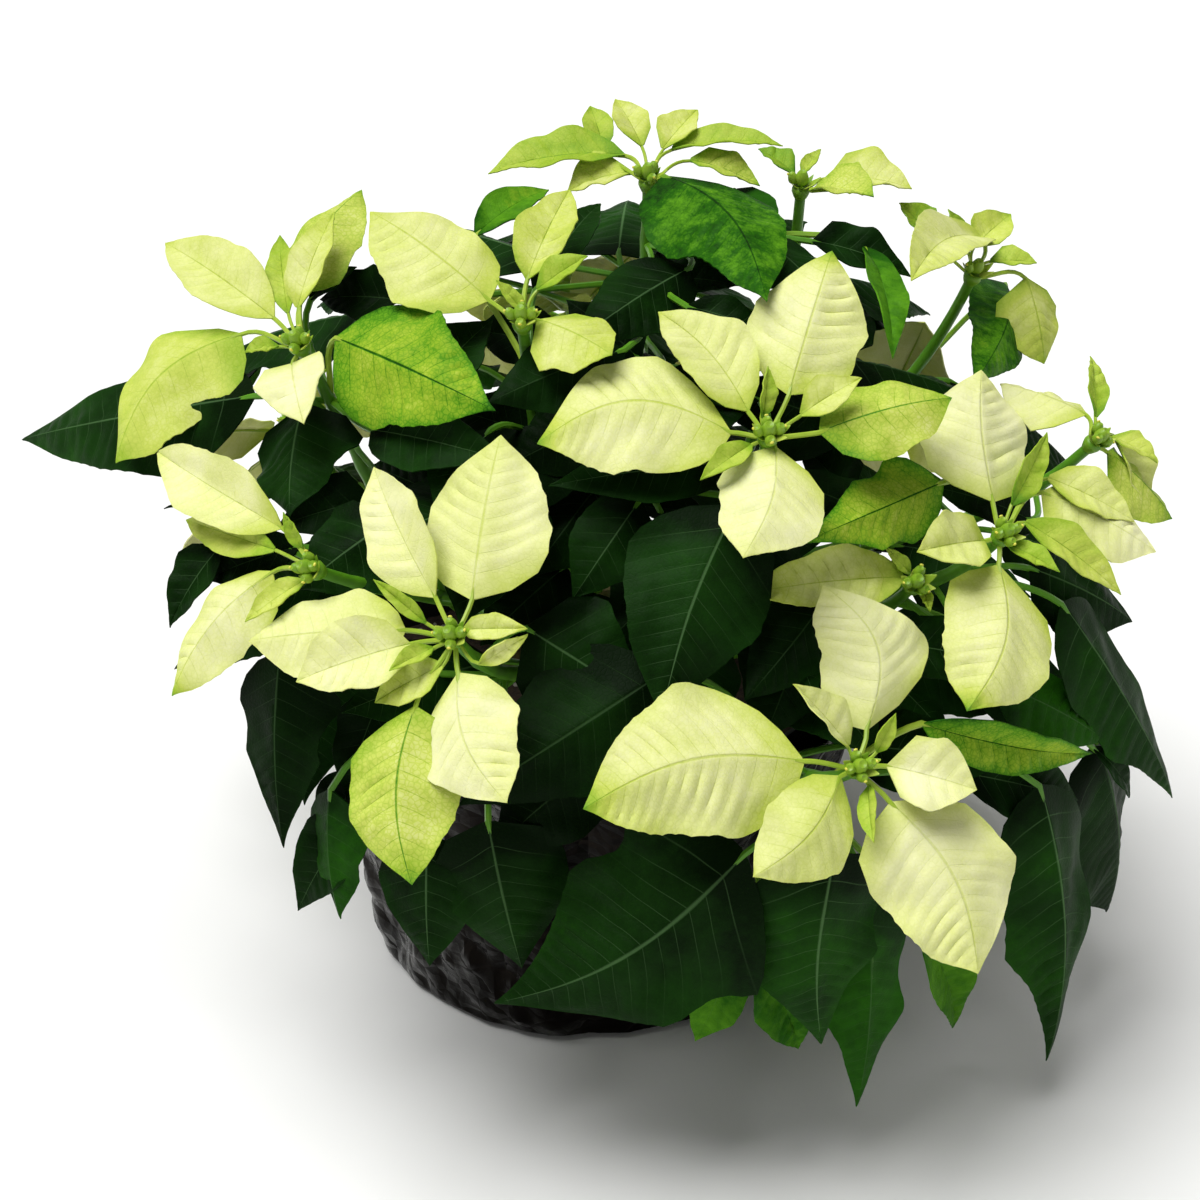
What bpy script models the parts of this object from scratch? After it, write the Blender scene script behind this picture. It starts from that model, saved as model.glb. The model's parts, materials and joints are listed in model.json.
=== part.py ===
"""Cream poinsettia in a nursery pot with a crumpled dark foil wrap.

Blades are laid out as the plant is seen from one viewpoint: each bract or leaf names the
picture points of its base and its tip, and its distance from the viewer follows from the
plane of its bloom or from the dome of the canopy. Lengths are in millimetres until a mesh
is made, and the origin is the centre of the wrap's base on the surface that it stands on.
"""

import math
import random
from typing import NamedTuple

import bmesh
import bpy
import numpy as np
from mathutils import Vector
from mathutils.bvhtree import BVHTree

MM = 0.001

# The viewpoint that the picture points are read from
VIEW_DISTANCE = 950.0
VIEW_ELEVATION = 28.0
VIEW_TARGET = np.array((4.0, 0.0, 137.0))
FIELD_WIDTH = 438.0
PICTURE_SIZE = 1200.0

# The dome that the flower heads lie on
DOME_CENTRE = np.array((9.0, 0.0, 122.0))
DOME_RADII = np.array((203.0, 190.0, 176.0))

# Pot, wrap and soil
GAP = 0.3
TURNED_SIDES = 24
POT_BASE_RADIUS = 70.0
POT_RIM_RADIUS = 90.0
POT_HEIGHT = 116.0
POT_WALL = 1.6
POT_BAND_HEIGHT = 18.0
POT_BAND_DEPTH = 2.0
POT_BAND_STEP = 3.0
POT_FLOOR = 2.5
DRAIN_HOLES = 4
DRAIN_HOLE_RADIUS = 5.0
DRAIN_HOLE_SIDES = 8
DRAIN_CUT = (-3.0, 9.0)
DRAIN_RING_RADIUS = 48.0
SOIL_DEPTH_BELOW_RIM = 14.0
SOIL_CROWN = 3.0
SOIL_CROWN_PART = 0.6
STEM_HOLE_DEPTH = 45.0
STEM_HOLE_ABOVE = 20.0
WRAP_THICKNESS = 1.0
WRAP_PLEATS = 18
WRAP_RINGS = (
    # height, radius, pleat depth, unevenness
    (0.0, 74.0, 0.0, 0.0),
    (3.0, 82.0, 0.6, 1.6),
    (34.0, 86.5, 1.8, 2.4),
    (78.0, 92.5, 1.6, 1.8),
    (104.0, 100.5, 3.0, 2.0),
    (117.0, 106.0, 4.4, 3.0),
)
WRAP_EDGE_WAVE = (4.0, 5, 0.4)
WRAP_EDGE_ZIGZAG = 1.6
WRAP_WAVES = ((3, 0.8, 0.6), (7, 2.1, 0.4))
WRAP_INSET = 1.15
WRAP_FOOT_INSET = 2.0
WRAP_FOOT_STEP = 0.5

# Stems
TRUNK_COUNT = 3
TRUNK_RING_RADIUS = 30.0
TRUNK_FIRST_ANGLE = -80.0
TRUNK_RADIUS = 5.2
TRUNK_TOP_RADIUS = 4.2
TRUNK_SIDES = 10
TRUNK_TOP = 158.0
FIRST_BRANCH_HEIGHT = 112.0
BRANCH_SPACING = 8.0
STEM_RADIUS = 2.7
STEM_TOP_RADIUS = 2.0
STEM_SIDES = 5
STEM_STATIONS = 6
STEM_SLOPE = 0.6
STEM_RISE = 0.75
STEM_PULLS = (0.38, 0.42)
STEM_BENDS = (0, 10, -10, 20, -20, 32, -32)
HUB_RADIUS = 3.6
HUB_HALF_HEIGHT = 2.3
HUB_SIDES = 6
HUB_FOOT_PART = 0.8
BRACT_ROOT_PART = 0.3
HEART_HEIGHT = 5.0
MIDDLE_BUD_RADIUS = 2.9
OUTER_BUD_RADIUS = 2.1
BUD_RING_RADIUS = 2.9
BUD_STRETCH = 1.2
BUD_SIDES = 5
BUD_ENDS = (0.9, 0.5)
BUD_FIRST_TURN = 0.5
BUD_SIDEWAYS = np.array((0.3, 0.2, 1.0))

# Blades
BLADE_THICKNESS = 0.9
PETIOLE_HALF_WIDTH = 1.15
PETIOLE_HALF_HEIGHT = 1.0
FIRST_STATION = 4.5
SMALL_WIDTH = 19.0
RIDGED_WIDTH = 42.0
CONVEX_WIDTH = 26.0
RIDGED_FLATS = (0.45, 1.0, 0.45)
PLAIN_FLATS = (0.8, 0.8)
RIPPLES = 2.1
RIPPLE_SLANT = 0.12
CLEARANCE = 0.75
SHARPEST_TURN = 1.1
USUAL_PETIOLE = 26.0
PETIOLE_PARTS = (0.3, 0.4, 0.5, 0.6, 0.7, 0.8, 0.88)
BEST_PETIOLE_PART = 0.65
HANGING_PETIOLE = 6.0
COST_OF_HANGING = 0.6
COST_OF_PART = 10.0
COST_OF_TURN = 8.0
STEMS_TRIED = 6
LEAF_ARCH = 0.07
LEAF_WAVE = 0.10
LEAF_UPWARD = 75.0
LEAF_OUTWARD = 0.5
LEAF_TO_VIEWER = 45.0
NARROWEST_SIGHT = 0.55
WIDEST_PART = 0.95
LEAF_TURNS = (0.0, 25.0, -25.0)
LEAF_SHIFTS = (0, 6, -6, 12, -12, 18, 26, -20, 35, 45)
LEAF_TIP_SHIFTS = (0, 10, -10, 20)
FAILED = 99
LOWEST_TIP = 9.0

# Half width of a blade at stations along its midrib, as parts of the widest half width
BRACT_STATIONS = ((0.10, 0.50), (0.38, 1.0), (0.70, 0.68))
BRACT_SMALL_STATIONS = ((0.30, 0.95), (0.66, 0.75))
LEAF_STATIONS = ((0.08, 0.60), (0.34, 1.0), (0.68, 0.64))
LOBED_STATIONS = ((0.07, 0.60), (0.27, 1.0), (0.38, 0.80), (0.54, 0.80), (0.68, 0.50))
FILLER_STATIONS = ((0.16, 0.75), (0.48, 0.92))

# Leaves that the picture doesn't show, on the shaded lower half of each stem
SEED = 24
FILLERS_IN_VIEW = 2
FILLERS_AT_BACK = 3
FILLER_LENGTH = (62.0, 88.0)
FILLER_PETIOLE = (24.0, 42.0)
FILLER_PITCH = (-25.0, 5.0)
FILLER_SPREAD = 60.0
FILLER_UNEVENNESS = 20.0
FILLER_PARTS = (0.42, 0.45)
FILLER_TURNS = (0, 18, -18, 36, -36, 60, -60, 90, -90, 130, -130)
FILLER_DROPS = (0, -14, 14, -28, 26)
FILLER_SIZES = (1.0, 0.75)
FILLER_STALK_RISE = 22.0
FILLER_REACH = 0.86
FILLER_HALF_WIDTH = 0.3

# Leaves over the side away from the viewer: elevation, first azimuth, azimuth step, count
BACK_LEAF_ROWS = ((66.0, 35.0, 52.0, 3), (46.0, 8.0, 32.0, 6), (27.0, 12.0, 37.0, 5))
BACK_BUDS = 4
BACK_INNER_BRACTS = 2
BACK_INNER_TILT = 38.0
BACK_INNER_LENGTH = 0.42
BACK_INNER_TURNS = (25.0, 160.0)
BACK_TILTS = (-10.0, 6.0)
BACK_LENGTHS = (0.88, 1.0, 1.12)
BACK_STALK = 13.0
BACK_HALF_WIDTH = 0.31
BACK_FOLD = 10.0
BACK_ARCH = 0.07
BACK_LARGE_LENGTH = 40.0
BACK_HUB_PART = 0.86
BACK_UPTURN = 24.0
BACK_BRACT_TURNS = (
    (0, 0), (0, 10), (0, -10), (10, 0), (-10, 0), (0, 20), (0, -20), (15, 12), (-15, 12), (0, -32),
    (25, -10), (-25, -10), (40, -15), (-40, -15), (60, 0), (-60, 0),
)
BACK_LEAF_SPAN = 27.0
BACK_LEAF_HALF_WIDTH = 24.0
BACK_LEAF_TURNS = (0, 8, -8, 16, -16, 24, -24)
BACK_LEAF_SINKS = (0.0, 0.07, -0.05, 0.14, 0.21)
BACK_BASE_PART = 0.80
BACK_TIP_PART = 0.93
LEAF_FOLD = 10.0
SHARP_ANGLE = 40.0

# How far a bract's tip, and its base, may be moved along the bloom's axis to keep clear
BRACT_SHIFTS = (
    (0, -0.6), (-4, -0.6), (4, -0.6), (-4, -1.6), (-8, -1.2), (8, -0.6), (-12, -1.6), (12, -0.6),
    (-17, -2.0), (17, 0.0), (-23, -2.5), (23, 0.0), (-30, -3.0), (30, 0.5), (-38, -3.5), (-12, -4.0),
    (-20, -5.0), (-6, -3.5),
)


class Bract(NamedTuple):
    """One bract of a bloom, by picture points.

    Rise is how far its tip stands proud of the hub's plane, and lean how much wider its left
    side is than its right, as seen from its base.
    """

    base: tuple
    tip: tuple
    width: float
    rise: float = 0.0
    roll: float = 0.0
    fold: float = 8.0
    arch: float = 0.05
    lean: float = 0.0


class Bloom(NamedTuple):
    """One bloom: its heart in the picture, the way it faces, its depth behind the dome, its bracts."""

    name: str
    heart: tuple
    azimuth: float
    elevation: float
    deep: float
    bracts: tuple
    buds: int = 5


class BackBloom(NamedTuple):
    """One bloom away from the viewer: its direction from the dome's centre, and its bracts."""

    name: str
    azimuth: float
    elevation: float
    length: float
    count: int
    turn: float


class Leaf(NamedTuple):
    """One green leaf: picture points, and how far its base and its tip lie behind the dome."""

    base: tuple
    tip: tuple
    width: float
    deep: tuple = (28.0, 12.0)
    roll: float = 0.0
    fold: float = 10.0
    lobed: bool = False
    lean: float = 0.0


BLOOMS = (
    Bloom("front_right", (860, 766), -75, 42, 0, (
        Bract((803, 761), (583, 809), 150, -4, 0, 6, 0.06, -0.3),
        Bract((848, 746), (793, 684), 40, 9, 20, 26, 0.03),
        Bract((867, 729), (822, 585), 117, 2, 0, 10, 0.06, -0.55),
        Bract((877, 752), (896, 713), 20, 9, 0, 20, 0.02),
        Bract((887, 766), (977, 790), 75, 6, 0, 12, 0.05),
        Bract((891, 803), (978, 974), 147, -6, 0, 8, 0.07, 0.25),
        Bract((840, 777), (753, 877), 95, 7, 0, 10, 0.05, 0.3),
        Bract((869, 786), (874, 843), 20, 9, 55, 12, 0.03),
    )),
    Bloom("front_left", (450, 633), -112, 48, 0, (
        Bract((472, 599), (501, 435), 130, 2, 0, 8, 0.05),
        Bract((435, 597), (374, 467), 70, 0, -20, 10, 0.05),
        Bract((426, 623), (373, 579), 20, 8, 0, 20, 0.02),
        Bract((405, 630), (249, 641), 90, -6, 0, 8, 0.05),
        Bract((410, 644), (296, 682), 75, 7, 0, 10, 0.05),
        Bract((433, 648), (389, 671), 22, 9, 0, 20, 0.02),
        Bract((443, 665), (375, 703), 50, -4, 0, 10, 0.04),
        Bract((458, 674), (507, 803), 105, 2, 10, 8, 0.07, -0.28),
        Bract((415, 707), (412, 885), 115, -10, 0, 8, 0.06, -0.25),
        Bract((463, 630), (528, 629), 30, 8, 0, 16, 0.03),
        Bract((479, 664), (528, 634), 20, 2, 50, 10, 0.03),
    )),
    Bloom("centre", (769, 430), -85, 58, 0, (
        Bract((730, 432), (537, 444), 120, -4, 0, 8, 0.08, -0.5),
        Bract((748, 411), (658, 312), 75, 2, 0, 10, 0.05, -0.2),
        Bract((762, 418), (768, 366), 18, 8, 40, 18, 0.02),
        Bract((789, 394), (832, 251), 115, 4, 0, 8, 0.05),
        Bract((801, 415), (862, 378), 40, 8, 0, 14, 0.04),
        Bract((820, 432), (952, 398), 85, -4, 0, 10, 0.07),
        Bract((775, 447), (743, 558), 112, 5, 0, 8, 0.06, 0.22),
        Bract((751, 445), (700, 480), 28, 6, 0, 16, 0.03),
    )),
    Bloom("right", (1007, 531), -60, 50, 0, (
        Bract((993, 501), (981, 370), 115, 3, 0, 8, 0.05, 0.15),
        Bract((1012, 505), (1047, 432), 30, 8, 20, 14, 0.03),
        Bract((1042, 492), (1156, 552), 74, 2, 0, 12, 0.06),
        Bract((1048, 478), (1134, 522), 50, 9, 0, 12, 0.05),
        Bract((1025, 522), (1121, 595), 45, -4, 0, 14, 0.05),
        Bract((1007, 544), (1060, 572), 22, 8, 0, 16, 0.03),
        Bract((984, 541), (917, 552), 62, 6, 0, 14, 0.05),
        Bract((999, 566), (967, 711), 127, 0, 0, 8, 0.07, 0.3),
    )),
    Bloom("left", (306, 567), -135, 34, 6, (
        Bract((282, 528), (157, 451), 70, 2, 0, 12, 0.06),
        Bract((275, 550), (186, 520), 45, -6, 0, 12, 0.05),
        Bract((303, 549), (283, 512), 16, 7, 0, 16, 0.02),
        Bract((272, 572), (172, 696), 70, 4, 0, 16, 0.07, -0.2),
        Bract((306, 580), (245, 622), 27, 9, 0, 16, 0.04),
    )),
    Bloom("upper_left", (296, 339), -125, 60, 0, (
        Bract((274, 318), (165, 243), 66, 4, 0, 12, 0.05),
        Bract((240, 334), (116, 463), 100, -8, 0, 10, 0.08, -0.42),
        Bract((278, 346), (245, 352), 20, 5, 0, 14, 0.03),
        Bract((292, 364), (304, 424), 74, 6, 0, 12, 0.06),
        Bract((298, 308), (335, 212), 45, 6, 0, 14, 0.05),
        Bract((302, 292), (362, 190), 72, -6, 0, 12, 0.05, 0.3),
        Bract((288, 313), (280, 235), 34, 0, 0, 14, 0.04),
    )),
    Bloom("upper_centre_left", (521, 314), -100, 66, 0, (
        Bract((489, 300), (370, 212), 100, 4, 0, 8, 0.06),
        Bract((524, 313), (496, 280), 16, 7, 0, 18, 0.02),
        Bract((527, 280), (570, 190), 56, 2, 0, 12, 0.05),
        Bract((537, 290), (588, 256), 30, 7, 0, 16, 0.03),
        Bract((538, 320), (612, 355), 75, 5, 0, 14, 0.06),
    )),
    Bloom("top", (648, 172), -90, 76, 0, (
        Bract((632, 172), (567, 192), 58, 5, 0, 12, 0.06),
        Bract((625, 155), (488, 174), 40, -6, 0, 12, 0.07),
        Bract((604, 150), (590, 106), 33, 4, 0, 14, 0.04),
        Bract((642, 146), (615, 99), 38, 6, 0, 14, 0.04),
        Bract((663, 149), (698, 110), 40, 5, 0, 14, 0.04),
        Bract((672, 149), (783, 146), 30, 3, 0, 14, 0.07),
        Bract((690, 160), (760, 186), 34, -6, 0, 14, 0.05),
    ), 4),
    Bloom("top_right", (802, 179), -80, 78, 0, (
        Bract((794, 174), (758, 149), 28, 4, 0, 14, 0.04),
        Bract((802, 174), (821, 149), 15, 6, 0, 14, 0.03),
        Bract((828, 178), (912, 189), 44, -2, 0, 14, 0.06),
        Bract((812, 190), (874, 197), 54, 6, 0, 14, 0.05),
    ), 2),
    Bloom("upper_right", (977, 267), -50, 66, 0, (
        Bract((984, 238), (911, 281), 60, 10, 0, 8, 0.05, -0.4),
        Bract((974, 247), (1011, 214), 42, 6, 0, 14, 0.04),
        Bract((932, 240), (899, 203), 40, 4, 0, 14, 0.04),
        Bract((967, 247), (948, 209), 17, 8, 0, 14, 0.02),
        Bract((990, 261), (1037, 263), 26, 4, 0, 14, 0.03),
        Bract((1026, 278), (1044, 364), 80, -14, 0, 12, 0.06),
    ), 2),
    Bloom("far_right", (1101, 436), -30, 52, 0, (
        Bract((1096, 417), (1090, 356), 24, 4, 0, 14, 0.03),
        Bract((1112, 437), (1157, 463), 24, 4, 0, 14, 0.04),
        Bract((1116, 438), (1140, 510), 52, 3, 0, 12, 0.05),
        Bract((1108, 452), (1172, 519), 52, -8, 0, 12, 0.05),
        Bract((1086, 414), (1000, 384), 110, -6, 0, 12, 0.05),
    ), 4),
    Bloom("small_right", (917, 581), -75, 45, 24, (
        Bract((904, 577), (746, 593), 62, 0, 0, 10, 0.06),
        Bract((910, 574), (886, 548), 16, 6, 0, 16, 0.02),
        Bract((922, 586), (930, 612), 14, 6, 0, 16, 0.02),
    ), 4),
)

BACK_BLOOMS = (
    BackBloom("back_left", 138, 14, 52, 6, 10),
    BackBloom("back_centre", 96, 28, 66, 7, 40),
    BackBloom("back_right", 50, 14, 60, 6, 0),
)

LEAVES = (
    Leaf((254, 396), (22, 440), 116, (14, 0), 0, 12, False, 0.12),
    Leaf((304, 404), (290, 517), 110, (30, 26), 0, 10),
    Leaf((392, 520), (300, 590), 108, (34, 28), 0, 10),
    Leaf((222, 545), (170, 628), 52, (30, 22), 0, 12),
    Leaf((280, 652), (284, 848), 112, (22, 26), 0, 14, True),
    Leaf((330, 790), (341, 919), 64, (40, 40), 20, 14),
    Leaf((362, 806), (298, 911), 68, (52, 46), 0, 10),
    Leaf((428, 834), (430, 966), 112, (38, 32), 0, 10),
    Leaf((488, 822), (522, 968), 146, (34, 36), 0, 12),
    Leaf((664, 672), (458, 806), 150, (32, 24), 0, 10),
    Leaf((745, 854), (494, 1003), 236, (18, 20), 0, 10, True, 0.2),
    Leaf((834, 855), (821, 1044), 185, (10, 6), 0, 12, True, -0.17),
    Leaf((870, 900), (856, 1107), 106, (28, -38), 0, 16, True),
    Leaf((735, 954), (695, 1041), 60, (48, 48), 0, 10),
    Leaf((762, 950), (798, 1049), 73, (40, 40), 0, 12),
    Leaf((920, 925), (952, 1028), 52, (44, 40), 0, 14),
    Leaf((1040, 786), (1046, 1061), 124, (24, 0), 0, 14, True, 0.1),
    Leaf((1096, 742), (1106, 912), 118, (46, 42), 0, 10),
    Leaf((1062, 604), (1172, 798), 94, (18, 2), 0, 12, True, -0.2),
    Leaf((1000, 684), (1106, 742), 78, (34, 26), 0, 10),
    Leaf((922, 724), (1093, 753), 56, (18, 16), 30, 14),
    Leaf((1093, 747), (1129, 798), 24, (30, 24), 0, 10),
    Leaf((736, 506), (660, 721), 164, (20, 12), 0, 10, False, -0.13),
    Leaf((526, 628), (644, 702), 144, (34, 28), 0, 8),
    Leaf((490, 430), (435, 515), 90, (36, 32), 0, 10),
    Leaf((624, 350), (486, 404), 92, (34, 30), 0, 10),
    Leaf((732, 462), (548, 486), 76, (30, 28), 0, 10),
    Leaf((640, 500), (572, 600), 92, (38, 34), 0, 10),
    Leaf((336, 338), (496, 411), 138, (12, 8), 0, 8),
    Leaf((425, 392), (493, 320), 70, (30, 30), 0, 10),
    Leaf((476, 235), (549, 190), 40, (20, 20), 0, 10),
    Leaf((535, 290), (601, 204), 50, (26, 26), 0, 10),
    Leaf((664, 176), (767, 302), 130, (10, 4), 0, 12, False, 0.27),
    Leaf((735, 190), (773, 236), 40, (24, 24), 0, 10),
    Leaf((756, 236), (830, 305), 78, (24, 20), 0, 10),
    Leaf((812, 241), (912, 277), 52, (22, 20), 0, 12),
    Leaf((865, 248), (893, 359), 40, (14, 10), 0, 14),
    Leaf((690, 268), (572, 345), 90, (26, 24), 0, 10),
    Leaf((688, 307), (771, 335), 40, (22, 20), 0, 10),
    Leaf((825, 600), (744, 701), 90, (38, 32), 0, 10),
    Leaf((943, 482), (797, 545), 96, (22, 16), 0, 12, True),
    Leaf((1006, 284), (972, 386), 82, (6, 4), 0, 14, False, 0.1),
    Leaf((310, 300), (357, 267), 26, (26, 26), 0, 10),
    Leaf((880, 640), (1020, 668), 70, (40, 36), 0, 10),
    Leaf((806, 622), (762, 742), 112, (50, 42), 0, 10),
    Leaf((604, 752), (492, 850), 112, (46, 40), 0, 10),
    Leaf((384, 690), (346, 800), 62, (50, 48), 0, 10),
    Leaf((560, 420), (520, 520), 96, (50, 46), 0, 10),
    Leaf((690, 560), (600, 650), 90, (62, 56), 0, 10),
    Leaf((1030, 568), (1132, 622), 96, (36, 30), 0, 10),
    Leaf((640, 404), (505, 468), 104, (50, 46), 0, 10),
    Leaf((606, 476), (530, 578), 104, (64, 58), 0, 10),
    Leaf((566, 566), (480, 646), 104, (68, 62), 0, 10),
    Leaf((372, 430), (512, 462), 76, (36, 32), 0, 10),
    Leaf((958, 772), (1078, 800), 74, (42, 38), 0, 10),
)


def unit(vector):
    """The vector at length one."""
    return vector / max(float(np.linalg.norm(vector)), 1e-9)


def direction(azimuth, elevation):
    """Unit vector of an azimuth and an elevation in degrees."""
    a, e = math.radians(azimuth), math.radians(elevation)
    return np.array((math.cos(a) * math.cos(e), math.sin(a) * math.cos(e), math.sin(e)))


VIEW_AXIS = -direction(-90.0, VIEW_ELEVATION)
VIEW_RIGHT = np.array((1.0, 0.0, 0.0))
VIEW_UP = np.cross(VIEW_RIGHT, VIEW_AXIS)
EYE = VIEW_TARGET - VIEW_AXIS * VIEW_DISTANCE


def sight(point):
    """Direction of the sight line through a picture point, one unit deep."""
    scale = FIELD_WIDTH / PICTURE_SIZE / VIEW_DISTANCE
    across = (point[0] - PICTURE_SIZE / 2) * scale
    upward = (PICTURE_SIZE / 2 - point[1]) * scale
    return VIEW_AXIS + VIEW_RIGHT * across + VIEW_UP * upward


def at_depth(point, depth):
    """The place on a picture point's sight line at a depth from the eye."""
    return EYE + sight(point) * depth


def dome_depth(point):
    """Depth where the sight line meets the dome, or passes nearest to it."""
    ray = sight(point) / DOME_RADII
    start = (EYE - DOME_CENTRE) / DOME_RADII
    a, b, c = ray @ ray, start @ ray, start @ start - 1.0
    return (-b - math.sqrt(max(b * b - a * c, 0.0))) / a


def on_plane(point, origin, normal, offset):
    """Where the sight line of a picture point meets the plane at an offset along its normal."""
    ray = sight(point)
    return EYE + ray * (((origin - EYE) @ normal + offset) / (ray @ normal))


class Blade:
    """A petiole and the blade that it carries, as rings of six or four points from root to tip.

    The margins of a wide blade hang below its midrib, and those of a narrow one stand above it.
    """

    def __init__(
        self, root, base, tip, half_width, facing, stations, fold=8.0, arch=0.05, roll=0.0, wave=0.0,
        lean=0.0,
    ):
        self.root = root
        self.base = base
        self.tip = tip
        self.half_width = half_width
        self.stations = stations
        self.fold = math.radians(-fold if 2 * half_width > CONVEX_WIDTH else fold)
        self.arch = arch
        self.wave = wave
        self.lean = lean
        self.axis = unit(tip - base)
        normal = unit(facing - self.axis * (facing @ self.axis))
        a = math.radians(roll)
        self.normal = normal * math.cos(a) + np.cross(self.axis, normal) * math.sin(a)
        self.across = np.cross(self.normal, self.axis)
        self.ridged = 2 * half_width > RIDGED_WIDTH and stations is not FILLER_STATIONS

    def length(self):
        """Length of the blade from base to tip."""
        return float(np.linalg.norm(self.tip - self.base))

    def surface(self, t, s, width):
        """The middle of the blade at part t of its length and part s of its half width."""
        length = self.length()
        half = self.half_width * width
        lift = self.arch * length * 4 * t * (1 - t) + half * abs(s) * math.sin(self.fold)
        ripple = self.wave * half * s * s * math.sin(math.tau * (RIPPLES * t + RIPPLE_SLANT * s))
        sideways = half * s * math.cos(self.fold) + self.half_width * self.lean * math.sin(math.pi * t)
        return self.base + self.axis * (length * t) + self.normal * (lift + ripple) + self.across * sideways

    def rings(self, grow=0.0):
        """Top and bottom points at each station, swollen by grow on every side."""
        sides = (-1.0, 0.0, 1.0) if self.ridged else (-1.0, 1.0)
        flats = RIDGED_FLATS if self.ridged else PLAIN_FLATS
        found = []
        inward = unit(self.base - self.root)
        onward = unit(self.surface(0.1, 0.0, 1.0) - self.base)
        for place, along in ((self.root, inward), (self.base, unit(inward + onward))):
            across = self.across - along * (self.across @ along)
            if np.linalg.norm(across) < 0.2:
                across = self.normal - along * (self.normal @ along)
            across = unit(across)
            height = np.cross(along, across)
            row = []
            for s, flat in zip(sides, flats):
                middle = place + across * (s * (PETIOLE_HALF_WIDTH + grow))
                half = height * (PETIOLE_HALF_HEIGHT * flat + grow)
                row.append((middle + half, middle - half))
            found.append(row)
        half = self.normal * (BLADE_THICKNESS / 2 + grow)
        for part, width in self.stations:
            t = max(part, FIRST_STATION / self.length()) if part < 0.2 else part
            row = []
            for s in sides:
                middle = self.surface(t, s, width) + self.across * (s * grow)
                row.append((middle + half, middle - half))
            found.append(row)
        end = self.tip + self.axis * grow
        found.append([(end + half, end - half) for _ in sides])
        return np.array(found)


class Tube:
    """A round stem, as rings of points along a path with a radius at each."""

    def __init__(self, path, radii, sides, first=None):
        self.path = path
        self.radii = radii
        self.sides = sides
        self.first = first

    def rings(self, grow=0.0):
        """Rings of points, swollen by grow."""
        found = []
        previous = None
        for i, place in enumerate(self.path):
            before = self.path[max(i - 1, 0)]
            after = self.path[min(i + 1, len(self.path) - 1)]
            along = unit(after - before)
            if i == 0 and self.first is not None:
                along = self.first
            if previous is None:
                seed = np.array((0.0, 0.0, 1.0)) if abs(along[2]) < 0.8 else np.array((1.0, 0.0, 0.0))
                previous = unit(np.cross(along, seed))
            across = unit(previous - along * (previous @ along))
            previous = across
            other = np.cross(along, across)
            radius = self.radii[i] + grow
            angles = [math.tau * k / self.sides for k in range(self.sides)]
            found.append([place + (across * math.cos(a) + other * math.sin(a)) * radius for a in angles])
        return np.array(found)


def blade_faces(rings):
    """Corner lists over a blade's rings, split alike above and below, for the clearance test."""
    stations, sides = rings.shape[:2]

    def index(i, j, k):
        return (i * sides + j) * 2 + k

    faces = []
    for i in range(stations - 1):
        for j in range(sides - 1):
            for k in (0, 1):
                a, b = index(i, j, k), index(i, j + 1, k)
                c, d = index(i + 1, j + 1, k), index(i + 1, j, k)
                faces += [(a, b, c), (a, c, d)]
        for j in (0, sides - 1):
            a, b = index(i, j, 0), index(i, j, 1)
            c, d = index(i + 1, j, 1), index(i + 1, j, 0)
            faces += [(a, b, c), (a, c, d)]
    return rings.reshape(-1, 3), faces


def tube_faces(rings):
    """Corner lists over a tube's rings, for the clearance test."""
    stations, sides = rings.shape[:2]
    faces = []
    for i in range(stations - 1):
        for j in range(sides):
            a, b = i * sides + j, i * sides + (j + 1) % sides
            faces += [(a, b, b + sides), (a, b + sides, a + sides)]
    faces.append(tuple(range(sides)))
    faces.append(tuple(range((stations - 1) * sides, stations * sides)))
    return rings.reshape(-1, 3), faces


def shell(shape, grow=0.0):
    """Points and faces of a shape for the clearance test."""
    rings = shape.rings(grow)
    return tube_faces(rings) if isinstance(shape, Tube) else blade_faces(rings)


def crosses_itself(shape):
    """Whether a shape's skin passes through itself, as a petiole that doubles back would."""
    points, faces = shell(shape)
    tree = BVHTree.FromPolygons([tuple(p) for p in points], faces)
    corners = [{tuple(points[i].round(3)) for i in face} for face in faces]
    return any(a < b and not corners[a] & corners[b] for a, b in tree.overlap(tree))


class Room:
    """What has been placed so far, by node, and whether a new shape would touch another node."""

    def __init__(self):
        self.entries = []
        self.lows = np.zeros((0, 3))
        self.highs = np.zeros((0, 3))

    def add(self, node, points, faces):
        """Keeps a shape's skin under its node's name."""
        points = np.asarray(points, float)
        self.entries.append((node, BVHTree.FromPolygons([tuple(p) for p in points], faces)))
        self.lows = np.vstack((self.lows, points.min(axis=0)))
        self.highs = np.vstack((self.highs, points.max(axis=0)))

    def touches(self, node, shape):
        """How many placed skins of other nodes the swollen shape crosses."""
        points, faces = shell(shape, CLEARANCE)
        low, high = points.min(axis=0), points.max(axis=0)
        if low[2] < LOWEST_TIP:
            return FAILED
        near = np.nonzero(((self.lows <= high) & (self.highs >= low)).all(axis=1))[0]
        if not len(near):
            return 0
        tree = BVHTree.FromPolygons([tuple(p) for p in points], faces)
        return sum(1 for i in near if self.entries[i][0] != node and tree.overlap(self.entries[i][1]))

    def settle(self, node, choices):
        """The first choice that is clear of other nodes is kept; None where every choice touches."""
        for shape in choices:
            if not self.touches(node, shape) and not crosses_itself(shape):
                self.add(node, *shell(shape))
                return shape
        return None


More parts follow.
